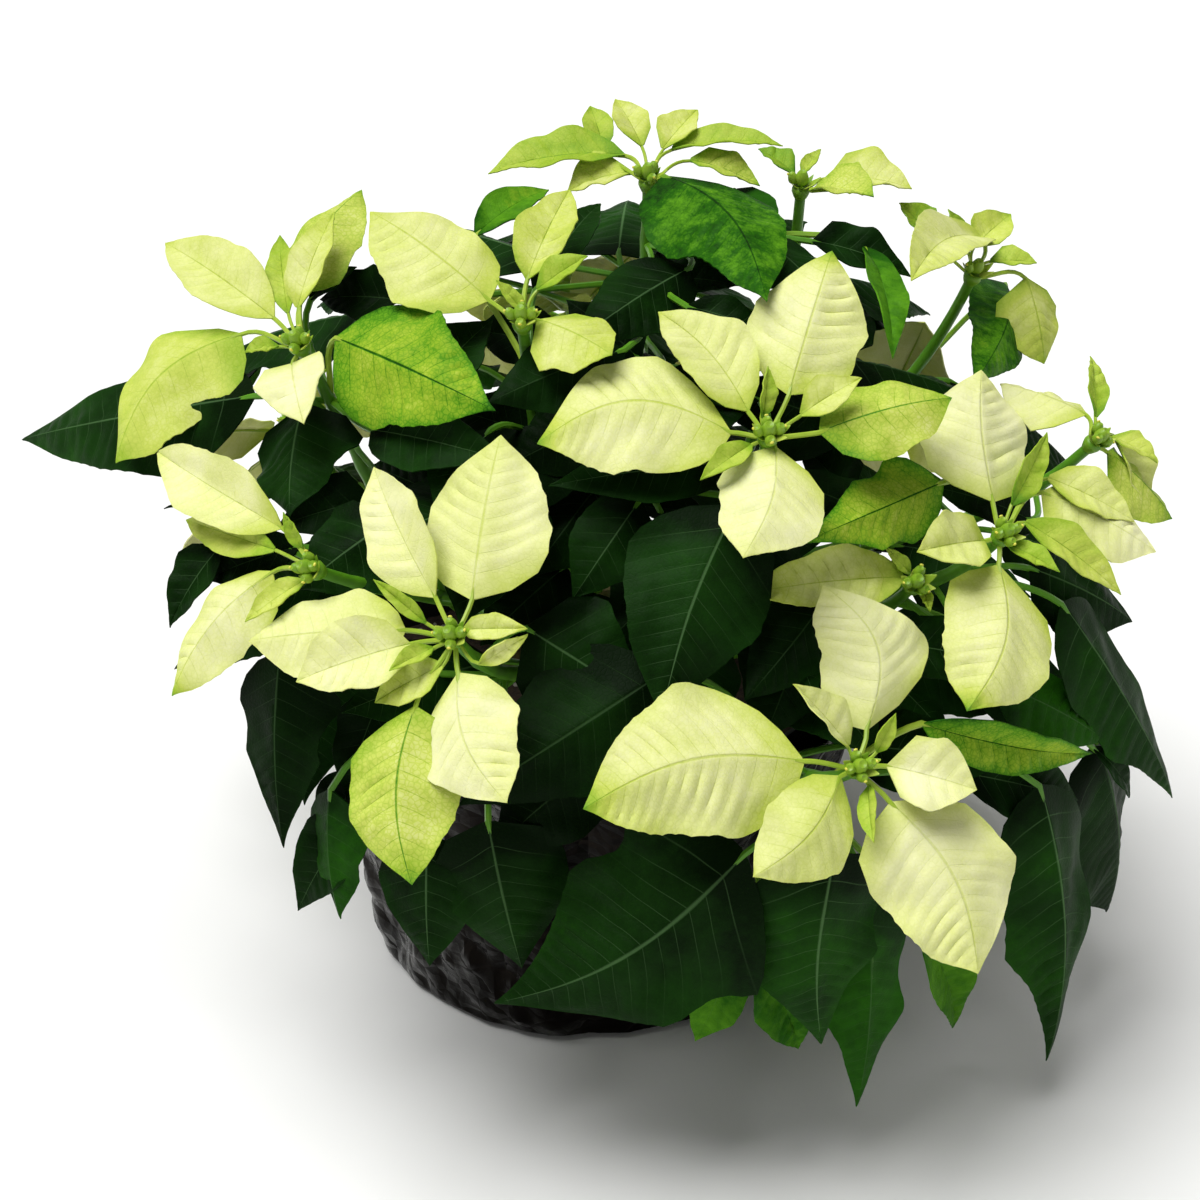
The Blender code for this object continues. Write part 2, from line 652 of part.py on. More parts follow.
class Stem:
    """One branch from a trunk to the hub of its bloom."""

    def __init__(self, name, trunk, height, hub, axis, bend=0.0):
        self.name = name
        self.hub = hub
        self.axis = axis
        outward = np.array((hub[0] - trunk[0], hub[1] - trunk[1], 0.0))
        self.outward = unit(outward)
        side = np.array((-self.outward[1], self.outward[0], 0.0))
        taper = (height - POT_HEIGHT) / (TRUNK_TOP - POT_HEIGHT)
        radius = TRUNK_RADIUS + (TRUNK_TOP_RADIUS - TRUNK_RADIUS) * min(max(taper, 0.0), 1.0)
        start = np.array((trunk[0], trunk[1], height)) + self.outward * (radius + GAP)
        end = hub - axis * (HUB_HALF_HEIGHT + GAP)
        reach = float(np.linalg.norm(end - start))
        rise = unit(self.outward + np.array((0.0, 0.0, STEM_RISE)))
        low, high = STEM_PULLS
        lower = start + rise * (low * reach) + side * bend
        self.controls = (start, lower, end - axis * (high * reach), end)

    def at(self, t):
        """Point of the branch at part t of its way to the hub."""
        a, b, c, d = self.controls
        s = 1 - t
        return a * s**3 + b * (3 * s * s * t) + c * (3 * s * t * t) + d * t**3

    def tube(self):
        """The branch as a tapering tube."""
        parts = [i / (STEM_STATIONS - 1) for i in range(STEM_STATIONS)]
        radii = [STEM_RADIUS + (STEM_TOP_RADIUS - STEM_RADIUS) * t for t in parts]
        return Tube([self.at(t) for t in parts], radii, STEM_SIDES, self.outward)


def seen_half_width(width, base, tip, facing, roll):
    """Half of the true width of a blade that is seen so many picture points wide."""
    middle = (base + tip) / 2
    depth = float((middle - EYE) @ VIEW_AXIS)
    axis = unit(tip - base)
    normal = unit(facing - axis * (facing @ axis))
    a = math.radians(roll)
    normal = normal * math.cos(a) + np.cross(axis, normal) * math.sin(a)
    across = np.cross(normal, axis)
    seen_axis = np.array((axis @ VIEW_RIGHT, axis @ VIEW_UP))
    seen_axis = seen_axis / max(float(np.linalg.norm(seen_axis)), 1e-6)
    seen = abs(across @ VIEW_RIGHT * -seen_axis[1] + across @ VIEW_UP * seen_axis[0])
    true = width * FIELD_WIDTH / PICTURE_SIZE * depth / VIEW_DISTANCE
    return min(true / max(seen, NARROWEST_SIGHT), WIDEST_PART * float(np.linalg.norm(tip - base))) / 2


def bract_choices(hub, axis, bract):
    """A bract as seen, then with its tip nearer to or farther from the viewer on the same sight line."""
    for shift, sink in BRACT_SHIFTS:
        base = on_plane(bract.base, hub, axis, sink)
        root = hub + unit(base - hub) * (BRACT_ROOT_PART * HUB_RADIUS)
        tip = on_plane(bract.tip, hub, axis, bract.rise + shift)
        half = seen_half_width(bract.width, base, tip, axis, bract.roll)
        small = 2 * half <= SMALL_WIDTH
        stations = BRACT_SMALL_STATIONS if small else BRACT_STATIONS
        yield Blade(
            root, base, tip, half, axis, stations, bract.fold, bract.arch, bract.roll, 0.0, bract.lean
        )


def back_bract_choices(hub, axis, angle, length, tilt):
    """A bract round the hub of a bloom at the back, then with other tilts and turns."""
    side = unit(np.cross(axis, np.array((0.0, 0.0, 1.0))))
    other = np.cross(axis, side)
    for turn, pitch in BACK_BRACT_TURNS:
        a = math.radians(angle + turn)
        e = math.radians(tilt + pitch)
        spoke = side * math.cos(a) + other * math.sin(a)
        along = spoke * math.cos(e) + axis * math.sin(e)
        base = hub + along * BACK_STALK
        tip = base + along * length
        stations = BRACT_STATIONS if length > BACK_LARGE_LENGTH else BRACT_SMALL_STATIONS
        half = BACK_HALF_WIDTH * length
        yield Blade(hub + along, base, tip, half, axis, stations, BACK_FOLD, BACK_ARCH)


def nearest_stems(stems, base, axis):
    """(stem, part) places that a leaf's petiole could spring from, the best first."""
    found = []
    for stem in stems:
        for t in PETIOLE_PARTS:
            place = stem.at(t)
            reach = float(np.linalg.norm(base - place))
            hanging = max(0.0, float(place[2] - base[2]) - HANGING_PETIOLE)
            turn = 1.0 - float(unit(base - place) @ axis)
            if turn < SHARPEST_TURN:
                cost = abs(reach - USUAL_PETIOLE) + COST_OF_HANGING * hanging
                cost += COST_OF_PART * abs(t - BEST_PETIOLE_PART) + COST_OF_TURN * turn
                found.append((cost, stem, t))
    found.sort(key=lambda entry: entry[0])
    return [(stem, t) for _, stem, t in found]


def leaf_facing(base):
    """Which way a leaf's upper side looks: upwards, and out from the middle of the plant."""
    out = base - DOME_CENTRE
    return unit(np.array((out[0] * LEAF_OUTWARD, out[1] * LEAF_OUTWARD - LEAF_TO_VIEWER, LEAF_UPWARD)))


def leaf_choices(stems, leaf):
    """(stem, blade) for a leaf as seen, then nearer or farther on its sight lines, on other stems too."""
    for turn in LEAF_TURNS:
        for shift in LEAF_SHIFTS:
            for tip_shift in LEAF_TIP_SHIFTS:
                base = at_depth(leaf.base, dome_depth(leaf.base) + leaf.deep[0] + shift)
                tip = at_depth(leaf.tip, dome_depth(leaf.tip) + leaf.deep[1] + shift + tip_shift)
                facing = leaf_facing(base)
                half = seen_half_width(leaf.width, base, tip, facing, leaf.roll + turn)
                stations = LOBED_STATIONS if leaf.lobed else LEAF_STATIONS
                if 2 * half <= SMALL_WIDTH:
                    stations = BRACT_SMALL_STATIONS
                for stem, t in nearest_stems(stems, base, unit(tip - base))[:STEMS_TRIED]:
                    yield stem, Blade(
                        stem.at(t), base, tip, half, facing, stations, leaf.fold, LEAF_ARCH,
                        leaf.roll + turn, LEAF_WAVE, leaf.lean,
                    )


def back_leaf_choices(stems, azimuth, elevation):
    """(stem, blade) for a leaf that lies over the back of the dome, then for places round about."""
    for turn in BACK_LEAF_TURNS:
        for sink in BACK_LEAF_SINKS:
            upper = direction(azimuth + turn, elevation + 0.5 * BACK_LEAF_SPAN) * DOME_RADII
            lower = direction(azimuth + turn, elevation - 0.5 * BACK_LEAF_SPAN) * DOME_RADII
            base = DOME_CENTRE + upper * (BACK_BASE_PART - sink)
            tip = DOME_CENTRE + lower * (BACK_TIP_PART - sink)
            facing = unit(base - DOME_CENTRE)
            for stem, t in nearest_stems(stems, base, unit(tip - base))[:STEMS_TRIED]:
                yield stem, Blade(
                    stem.at(t), base, tip, BACK_LEAF_HALF_WIDTH, facing, LEAF_STATIONS, LEAF_FOLD,
                    LEAF_ARCH, 0.0, LEAF_WAVE,
                )


def filler_choices(stem, part, azimuth, pitch, length, petiole):
    """A shaded leaf low on its stem, then with other turns and pitches."""
    for turn in FILLER_TURNS:
        for drop in FILLER_DROPS:
            for size in FILLER_SIZES:
                start = stem.at(part)
                out = direction(azimuth + turn, pitch + drop)
                stalk = direction(azimuth + turn, pitch + drop + FILLER_STALK_RISE)
                base = start + stalk * petiole * size
                tip = base + out * length * size
                if (((tip - DOME_CENTRE) / DOME_RADII) ** 2).sum() > FILLER_REACH:
                    continue
                out = base - DOME_CENTRE
                facing = leaf_facing(base)
                if out[1] > 0:
                    facing = unit(np.array((*(out[:2] * LEAF_OUTWARD), LEAF_UPWARD)))
                half = FILLER_HALF_WIDTH * length * size
                yield Blade(start, base, tip, half, facing, FILLER_STATIONS, LEAF_FOLD, LEAF_ARCH)


def mesh_object(name, bm):
    """A scene object from a bmesh in millimetres."""
    bmesh.ops.scale(bm, vec=(MM, MM, MM), verts=bm.verts)
    mesh = bpy.data.meshes.new(name)
    bm.to_mesh(mesh)
    bm.free()
    obj = bpy.data.objects.new(name, mesh)
    bpy.context.scene.collection.objects.link(obj)
    return obj


def blade_mesh(blade):
    """A blade's closed mesh: a grid split into triangles, extruded, then laid on its rings."""
    rings = blade.rings()
    stations, sides = rings.shape[:2]
    bm = bmesh.new()
    bmesh.ops.create_grid(bm, x_segments=stations - 1, y_segments=sides - 1, size=0.5)
    bmesh.ops.triangulate(bm, faces=bm.faces, quad_method="FIXED")
    extruded = bmesh.ops.extrude_face_region(bm, geom=bm.faces)["geom"]
    raised = [v for v in extruded if isinstance(v, bmesh.types.BMVert)]
    bmesh.ops.translate(bm, vec=(0.0, 0.0, 1.0), verts=raised)
    for vertex in bm.verts:
        i = round((vertex.co.x + 0.5) * (stations - 1))
        j = round((vertex.co.y + 0.5) * (sides - 1))
        vertex.co = rings[i, j, 0 if vertex.co.z > 0.5 else 1]
    bmesh.ops.remove_doubles(bm, verts=bm.verts, dist=1e-4)
    bmesh.ops.triangulate(bm, faces=bm.faces, quad_method="FIXED")
    bmesh.ops.recalc_face_normals(bm, faces=bm.faces)
    return bm


def ringed_mesh(rings):
    """A closed body whose end is extruded from ring to ring of points, with both ends filled."""
    bm = bmesh.new()
    ring = bmesh.ops.create_circle(bm, cap_ends=False, segments=len(rings[0]), radius=1.0)["verts"]
    ring = sorted(ring, key=lambda v: math.atan2(v.co.y, v.co.x) % math.tau)
    first = ring
    for i, places in enumerate(rings):
        if i:
            edges = [edge for edge in bm.edges if edge.verts[0] in ring and edge.verts[1] in ring]
            grown = bmesh.ops.extrude_edge_only(bm, edges=edges)["geom"]
            fresh = {v for v in grown if isinstance(v, bmesh.types.BMVert)}
            ring = [next(e.other_vert(v) for e in v.link_edges if e.other_vert(v) in fresh) for v in ring]
        for vertex, place in zip(ring, places):
            vertex.co = place
    bm.faces.new(first)
    bm.faces.new(ring)
    bmesh.ops.recalc_face_normals(bm, faces=bm.faces)
    return bm


def tube_mesh(tube):
    """A tube's closed mesh."""
    return ringed_mesh(tube.rings())


def spun_mesh(profile, steps):
    """A closed turned body from (radius, height) points that start and end on the axis."""
    bm = bmesh.new()
    made = [bm.verts.new((radius, 0.0, height)) for radius, height in profile]
    edges = [bm.edges.new(pair) for pair in zip(made, made[1:])]
    bmesh.ops.spin(
        bm, geom=made + edges, cent=(0, 0, 0), axis=(0, 0, 1), angle=math.tau, steps=steps, use_merge=True
    )
    bmesh.ops.remove_doubles(bm, verts=bm.verts, dist=1e-3)
    bmesh.ops.recalc_face_normals(bm, faces=bm.faces)
    return bm


def join(obj, pieces, operation="UNION"):
    """Joins the pieces to the object, or cuts them from it, with one Boolean, and removes them."""
    if not pieces:
        return obj
    group = bpy.data.collections.new(obj.name + "_pieces")
    bpy.context.scene.collection.children.link(group)
    for piece in pieces:
        bpy.context.scene.collection.objects.unlink(piece)
        group.objects.link(piece)
    modifier = obj.modifiers.new("join", "BOOLEAN")
    modifier.operation = operation
    modifier.operand_type = "COLLECTION"
    modifier.collection = group
    modifier.solver = "MANIFOLD" if operation == "UNION" else "EXACT"
    graph = bpy.context.evaluated_depsgraph_get()
    mesh = bpy.data.meshes.new_from_object(obj.evaluated_get(graph))
    obj.modifiers.clear()
    obj.data = mesh
    mesh.name = obj.name
    for piece in pieces:
        bpy.data.objects.remove(piece)
    bpy.data.collections.remove(group)
    return obj


def keep_largest(obj):
    """Fills hollows that joining sealed and drops loose scraps: only the largest skin stays."""
    bm = bmesh.new()
    bm.from_mesh(obj.data)
    waiting = set(bm.verts)
    skins = []
    while waiting:
        front = [waiting.pop()]
        skin = set(front)
        while front:
            vertex = front.pop()
            for edge in vertex.link_edges:
                other = edge.other_vert(vertex)
                if other in waiting:
                    waiting.discard(other)
                    skin.add(other)
                    front.append(other)
        skins.append(skin)
    skins.sort(key=len)
    for skin in skins[:-1]:
        print(obj.name, "drops a skin of", len(skin), "points")
        bmesh.ops.delete(bm, geom=list(skin), context="VERTS")
    if len(skins) > 1:
        bm.to_mesh(obj.data)
    bm.free()


def finish(obj, material):
    """Gives the object its one material and smooth shading with sharp edges kept."""
    obj.data.materials.clear()
    obj.data.materials.append(material)
    obj.data.shade_smooth()
    obj.data.set_sharp_from_angle(angle=math.radians(SHARP_ANGLE))
    return obj


def principled(name, colour, roughness, metallic=0.0):
    """A Principled material."""
    material = bpy.data.materials.new(name)
    material.use_nodes = True
    shader = material.node_tree.nodes["Principled BSDF"]
    shader.inputs["Base Color"].default_value = (*colour, 1.0)
    shader.inputs["Roughness"].default_value = roughness
    shader.inputs["Metallic"].default_value = metallic
    return material


def wrap_radius(angle, radius, pleat, uneven):
    """Radius of the wrap at an angle: pleats, and the slow unevenness of hand-pressed foil."""
    folded = abs(((angle / math.tau * WRAP_PLEATS) % 1.0) * 2 - 1) * 2 - 1
    slow = sum(part * math.sin(times * angle + phase) for times, phase, part in WRAP_WAVES)
    return radius + pleat * folded + uneven * slow


def wrap_mesh():
    """The foil wrap: rings up its outside and down its inside, with a wall of even thickness."""
    count = 2 * WRAP_PLEATS
    height_of_wave, times, phase = WRAP_EDGE_WAVE
    outer = []
    inner = []
    for height, radius, pleat, uneven in WRAP_RINGS:
        row = []
        lining = []
        for k in range(count):
            angle = math.tau * k / count
            around = direction(math.degrees(angle), 0.0)
            upward = np.array((0.0, 0.0, 1.0))
            reach = wrap_radius(angle, radius, pleat, uneven)
            rise = height
            if height == WRAP_RINGS[-1][0]:
                rise += height_of_wave * math.sin(times * angle + phase) + WRAP_EDGE_ZIGZAG * (-1) ** k
            floor = max(rise, WRAP_THICKNESS)
            if height == WRAP_RINGS[1][0]:
                floor += WRAP_FOOT_STEP
            inset = WRAP_THICKNESS * (WRAP_INSET if height > 0 else WRAP_FOOT_INSET)
            row.append(around * reach + upward * rise)
            lining.append(around * (reach - inset) + upward * floor)
        outer.append(row)
        inner.append(lining)
    return ringed_mesh(outer + inner[::-1])


def pot_profile():
    """(radius, height) points of the pot from the middle of its underside, up outside, down inside."""
    base = WRAP_THICKNESS + GAP
    band = POT_HEIGHT - POT_BAND_HEIGHT

    def wall(height):
        return POT_BASE_RADIUS + (POT_RIM_RADIUS - POT_BASE_RADIUS) * (height - base) / (POT_HEIGHT - base)

    return (
        (0.0, base),
        (POT_BASE_RADIUS, base),
        (wall(band), band),
        (wall(band) + POT_BAND_DEPTH, band),
        (POT_RIM_RADIUS + POT_BAND_DEPTH, POT_HEIGHT),
        (POT_RIM_RADIUS - POT_WALL + POT_BAND_DEPTH, POT_HEIGHT),
        (wall(band) - POT_WALL, band - POT_BAND_STEP),
        (wall(base + POT_FLOOR) - POT_WALL, base + POT_FLOOR),
        (0.0, base + POT_FLOOR),
    )


def soil_profile():
    """(radius, height) points of the soil, following the pot's inside."""
    base = WRAP_THICKNESS + GAP
    top = POT_HEIGHT - SOIL_DEPTH_BELOW_RIM
    shoulder = POT_HEIGHT - POT_BAND_HEIGHT - POT_BAND_STEP
    lean = (POT_RIM_RADIUS - POT_BASE_RADIUS) / (POT_HEIGHT - base)
    low = base + POT_FLOOR + GAP
    inside = POT_BASE_RADIUS - POT_WALL - 2 * GAP
    return (
        (0.0, low),
        (inside + lean * POT_FLOOR - GAP, low),
        (inside + lean * (shoulder - base), shoulder),
        (inside + lean * (top - base), top - SOIL_CROWN),
        (SOIL_CROWN_PART * inside, top),
        (0.0, top),
    )


def trunk_places():
    """Where the cuttings stand in the soil."""
    places = []
    for k in range(TRUNK_COUNT):
        around = direction(TRUNK_FIRST_ANGLE + 360.0 * k / TRUNK_COUNT, 0.0)
        places.append(around * TRUNK_RING_RADIUS)
    return places


def bud_mesh(centre, axis, radius):
    """One egg-shaped bud of a flower head."""
    bm = bmesh.new()
    foot, mouth = (part * radius for part in BUD_ENDS)
    bmesh.ops.create_cone(
        bm, cap_ends=True, segments=BUD_SIDES, radius1=foot, radius2=mouth, depth=2 * BUD_STRETCH * radius
    )
    turn = Vector((0.0, 0.0, 1.0)).rotation_difference(Vector(axis)).to_matrix()
    bmesh.ops.rotate(bm, cent=(0, 0, 0), matrix=turn, verts=bm.verts)
    bmesh.ops.translate(bm, vec=Vector(centre), verts=bm.verts)
    return bm


def head_places(hub, axis, count):
    """(centre, radius) of each bud of a flower head, the middle one first."""
    side = unit(np.cross(axis, BUD_SIDEWAYS))
    other = np.cross(axis, side)
    foot = hub + axis * (HUB_HALF_HEIGHT + GAP)
    places = [(foot + axis * (BUD_STRETCH * MIDDLE_BUD_RADIUS), MIDDLE_BUD_RADIUS)]
    for k in range(count - 1):
        a = math.tau * k / (count - 1) + BUD_FIRST_TURN
        spoke = (side * math.cos(a) + other * math.sin(a)) * BUD_RING_RADIUS
        places.append((foot + axis * (BUD_STRETCH * OUTER_BUD_RADIUS) + spoke, OUTER_BUD_RADIUS))
    return places


def turned_pieces(room):
    """The wrap, the pot with its drain holes, and the soil with a hole for each cutting."""
    wrap = mesh_object("foil_wrap", wrap_mesh())
    pot = mesh_object("nursery_pot", spun_mesh(pot_profile(), TURNED_SIDES))
    soil = mesh_object("soil", spun_mesh(soil_profile(), TURNED_SIDES))
    for obj in (wrap, pot, soil):
        points = [tuple(v.co / MM) for v in obj.data.vertices]
        room.add(obj.name, points, [tuple(p.vertices) for p in obj.data.polygons])

    drains = []
    for k in range(DRAIN_HOLES):
        place = direction(360.0 * k / DRAIN_HOLES, 0.0) * DRAIN_RING_RADIUS
        ends = [place + np.array((0.0, 0.0, z)) for z in DRAIN_CUT]
        hole = Tube(ends, [DRAIN_HOLE_RADIUS] * 2, DRAIN_HOLE_SIDES)
        drains.append(mesh_object(f"drain_hole_{k}", tube_mesh(hole)))
    join(pot, drains, "DIFFERENCE")

    soil_top = POT_HEIGHT - SOIL_DEPTH_BELOW_RIM
    stem_holes = []
    for k, place in enumerate(trunk_places()):
        heights = (soil_top - STEM_HOLE_DEPTH, soil_top + STEM_HOLE_ABOVE)
        ends = [place + np.array((0.0, 0.0, z)) for z in heights]
        hole = Tube(ends, [TRUNK_RADIUS + 3 * GAP] * 2, TRUNK_SIDES)
        stem_holes.append(mesh_object(f"stem_hole_{k}", tube_mesh(hole)))
    join(soil, stem_holes, "DIFFERENCE")

    finish(wrap, principled("foil_dark", (0.03, 0.025, 0.025), 0.22, 0.9))
    finish(pot, principled("pot_plastic", (0.02, 0.02, 0.02), 0.5))
    finish(soil, principled("peat_brown", (0.03, 0.018, 0.01), 0.95))


def trunk_pieces(room):
    """The rooted cuttings, each standing in its hole."""
    bark = principled("bark_brown", (0.16, 0.13, 0.05), 0.75)
    foot = POT_HEIGHT - SOIL_DEPTH_BELOW_RIM - STEM_HOLE_DEPTH + GAP
    for k, place in enumerate(trunk_places()):
        path = [place + np.array((0.0, 0.0, z)) for z in (foot, POT_HEIGHT, TRUNK_TOP)]
        tube = Tube(path, (TRUNK_RADIUS, TRUNK_RADIUS, TRUNK_TOP_RADIUS), TRUNK_SIDES)
        name = f"trunk_{k + 1}"
        finish(mesh_object(name, tube_mesh(tube)), bark)
        room.add(name, *shell(tube))


def place_hubs():
    """(hub, axis, buds) of every bloom by its name."""
    hubs = {}
    for bloom in BLOOMS:
        axis = direction(bloom.azimuth, bloom.elevation)
        heart = at_depth(bloom.heart, dome_depth(bloom.heart) + bloom.deep)
        hubs[bloom.name] = (heart - axis * HEART_HEIGHT, axis, bloom.buds)
    for bloom in BACK_BLOOMS:
        axis = direction(bloom.azimuth, bloom.elevation + BACK_UPTURN)
        out = direction(bloom.azimuth, bloom.elevation) * DOME_RADII
        hubs[bloom.name] = (DOME_CENTRE + out * BACK_HUB_PART, axis, BACK_BUDS)
    return hubs


def place_stems(room, hubs):
    """A stem to each hub from the nearest cutting, the flattest ones lowest."""
    trunks = trunk_places()
    shared = {k: [] for k in range(TRUNK_COUNT)}
    for name, (hub, axis, _) in hubs.items():
        flat = [float(np.linalg.norm(hub[:2] - place[:2])) for place in trunks]
        shared[flat.index(min(flat))].append((hub[2] - STEM_SLOPE * min(flat), name))
    stems = []
    for k, members in shared.items():
        for rank, (_, name) in enumerate(sorted(members)):
            hub, axis, _ = hubs[name]
            height = FIRST_BRANCH_HEIGHT + BRANCH_SPACING * rank
            tried = [Stem(name, trunks[k], height, hub, axis, bend) for bend in STEM_BENDS]
            node = "leafy_stem_" + name
            stem = next((stem for stem in tried if not room.touches(node, stem.tube())), tried[-1])
            room.add(node, *shell(stem.tube()))
            stems.append(stem)
    return stems


def head_meshes(room, hubs):
    """The buds of every flower head, by node."""
    found = {}
    for name, (hub, axis, count) in hubs.items():
        node = "flower_head_" + name
        found[node] = [bud_mesh(centre, axis, radius) for centre, radius in head_places(hub, axis, count)]
        for bm in found[node]:
            room.add(node, [tuple(v.co) for v in bm.verts], [[v.index for v in f.verts] for f in bm.faces])
    return found


def bract_meshes(room, hubs):
    """The hub and the bracts of every bloom, by node: those in view, then those at the back."""
    found = {}
    for name, (hub, axis, _) in hubs.items():
        ends = [hub - axis * HUB_HALF_HEIGHT, hub + axis * HUB_HALF_HEIGHT]
        tube = Tube(ends, [HUB_RADIUS * HUB_FOOT_PART, HUB_RADIUS], HUB_SIDES)
        room.add("bracts_" + name, *shell(tube))
        found["bracts_" + name] = [tube_mesh(tube)]
    wanted = []
    for bloom in BLOOMS:
        hub, axis, _ = hubs[bloom.name]
        for bract in bloom.bracts:
            wanted.append((bloom.name, bract.tip, bract_choices(hub, axis, bract)))
    for bloom in BACK_BLOOMS:
        hub, axis, _ = hubs[bloom.name]
        for k in range(bloom.count):
            angle = bloom.turn + 360.0 / bloom.count * k
            length = bloom.length * BACK_LENGTHS[k % len(BACK_LENGTHS)]
            tilt = BACK_TILTS[k % len(BACK_TILTS)]
            wanted.append((bloom.name, k, back_bract_choices(hub, axis, angle, length, tilt)))
        for k in range(bloom.count, bloom.count + BACK_INNER_BRACTS):
            angle = bloom.turn + BACK_INNER_TURNS[0] + BACK_INNER_TURNS[1] * k
            length = bloom.length * BACK_INNER_LENGTH
            wanted.append((bloom.name, k, back_bract_choices(hub, axis, angle, length, BACK_INNER_TILT)))
    for name, label, choices in wanted:
        blade = room.settle("bracts_" + name, choices)
        if blade is None:
            print("left out: bract", name, label)
        else:
            found["bracts_" + name].append(blade_mesh(blade))
    return found


def leaf_meshes(room, stems):
    """Every stem with its leaves, by node: leaves in view, those over the back, then the shaded ones."""
    found = {"leafy_stem_" + stem.name: [tube_mesh(stem.tube())] for stem in stems}
    wanted = [(leaf.tip, leaf_choices(stems, leaf)) for leaf in LEAVES]
    for elevation, first, step, count in BACK_LEAF_ROWS:
        for k in range(count):
            azimuth = first + step * k
            wanted.append(((azimuth, elevation), back_leaf_choices(stems, azimuth, elevation)))
    for label, choices in wanted:
        for stem, blade in choices:
            node = "leafy_stem_" + stem.name
            if room.settle(node, [blade]):
                found[node].append(blade_mesh(blade))
                break
        else:
            print("left out: leaf", label)

    draw = random.Random(SEED)
    for stem in stems:
        node = "leafy_stem_" + stem.name
        heading = math.degrees(math.atan2(stem.outward[1], stem.outward[0]))
        count = FILLERS_AT_BACK if stem.name.startswith("back") else FILLERS_IN_VIEW
        for k in range(count):
            uneven = draw.uniform(-FILLER_UNEVENNESS, FILLER_UNEVENNESS)
            azimuth = heading + (k - (count - 1) / 2) * FILLER_SPREAD + uneven
            pitch = draw.uniform(*FILLER_PITCH)
            length = draw.uniform(*FILLER_LENGTH)
            petiole = draw.uniform(*FILLER_PETIOLE)
            part = FILLER_PARTS[0] + FILLER_PARTS[1] * k / count
            blade = room.settle(node, filler_choices(stem, part, azimuth, pitch, length, petiole))
            if blade is None:
                print("left out: filler", stem.name, k)
            else:
                found[node].append(blade_mesh(blade))
    return found


def fuse(meshes, material):
    """Makes one finished object of each node's meshes."""
    for node, parts in meshes.items():
        made = [mesh_object(f"{node}_{i}", bm) for i, bm in enumerate(parts)]
        whole = join(made[0], made[1:])
        keep_largest(whole)
        whole.name = node
        whole.data.name = node
        finish(whole, material)


def build():
    """Places every piece, then makes the meshes."""
    for obj in list(bpy.data.objects):
        bpy.data.objects.remove(obj)
    room = Room()
    turned_pieces(room)
    trunk_pieces(room)
    hubs = place_hubs()
    stems = place_stems(room, hubs)
    heads = head_meshes(room, hubs)
    bracts = bract_meshes(room, hubs)
    leaves = leaf_meshes(room, stems)
    fuse(leaves, principled("leaf_green", (0.02, 0.09, 0.025), 0.45))
    fuse(bracts, principled("bract_cream", (0.80, 0.84, 0.40), 0.55))
    fuse(heads, principled("bud_green", (0.12, 0.32, 0.04), 0.5))


build()
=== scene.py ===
"""Cream poinsettia in a foil-wrapped nursery pot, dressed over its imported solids.

Every blade is named by the picture points of its base and tip, as the solids are. Its solid
tells which of the allowed places it was given, and a finer blade is laid on the same surface.
Lengths are in millimetres until a mesh is finished.
"""

import json
import logging
import math
import random
from dataclasses import dataclass, field
from enum import Enum
from itertools import product
from typing import Iterator, Sequence

import bmesh
import bpy
import numpy as np
from mathutils import Matrix, Vector, noise
from mathutils.kdtree import KDTree

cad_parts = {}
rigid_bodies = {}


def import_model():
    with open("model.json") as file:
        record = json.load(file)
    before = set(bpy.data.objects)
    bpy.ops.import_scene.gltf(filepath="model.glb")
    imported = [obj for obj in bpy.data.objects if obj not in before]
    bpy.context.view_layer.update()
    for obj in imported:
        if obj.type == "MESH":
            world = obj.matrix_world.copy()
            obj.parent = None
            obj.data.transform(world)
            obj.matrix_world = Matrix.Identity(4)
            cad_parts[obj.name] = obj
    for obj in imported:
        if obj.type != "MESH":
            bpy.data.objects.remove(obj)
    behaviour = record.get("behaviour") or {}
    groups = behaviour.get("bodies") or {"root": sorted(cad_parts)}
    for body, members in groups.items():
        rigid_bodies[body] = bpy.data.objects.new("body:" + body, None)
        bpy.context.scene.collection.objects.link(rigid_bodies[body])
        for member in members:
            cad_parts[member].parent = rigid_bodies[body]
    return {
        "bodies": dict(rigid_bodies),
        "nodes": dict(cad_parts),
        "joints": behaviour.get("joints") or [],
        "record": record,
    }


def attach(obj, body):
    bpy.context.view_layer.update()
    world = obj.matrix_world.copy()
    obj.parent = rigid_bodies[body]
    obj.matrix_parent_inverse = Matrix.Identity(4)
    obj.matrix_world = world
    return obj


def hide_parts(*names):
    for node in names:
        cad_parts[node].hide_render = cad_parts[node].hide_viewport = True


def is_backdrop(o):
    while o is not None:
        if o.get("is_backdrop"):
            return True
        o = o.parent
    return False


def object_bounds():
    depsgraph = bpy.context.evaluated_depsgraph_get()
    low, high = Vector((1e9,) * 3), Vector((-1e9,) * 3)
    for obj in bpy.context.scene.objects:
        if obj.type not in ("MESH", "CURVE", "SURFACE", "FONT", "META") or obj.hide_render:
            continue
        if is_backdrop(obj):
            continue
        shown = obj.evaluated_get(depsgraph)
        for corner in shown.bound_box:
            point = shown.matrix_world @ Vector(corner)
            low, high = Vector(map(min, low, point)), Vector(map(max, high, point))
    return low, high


LOG = logging.getLogger("poinsettia")
MM = 0.001
Mesh = bmesh.types.BMesh
Place = np.ndarray
UP = np.array((0.0, 0.0, 1.0))
# What each part of a mesh tells its finish, vertex by vertex
LOOKS = ("tone", "mottle", "vein", "margin", "tip", "pairs")


def unit(vector: Place) -> Place:
    """The vector at length one."""
    return vector / max(float(np.linalg.norm(vector)), 1e-9)


def apart(a: Place, b: Place) -> float:
    """How far two places are from each other."""
    return float(np.linalg.norm(b - a))


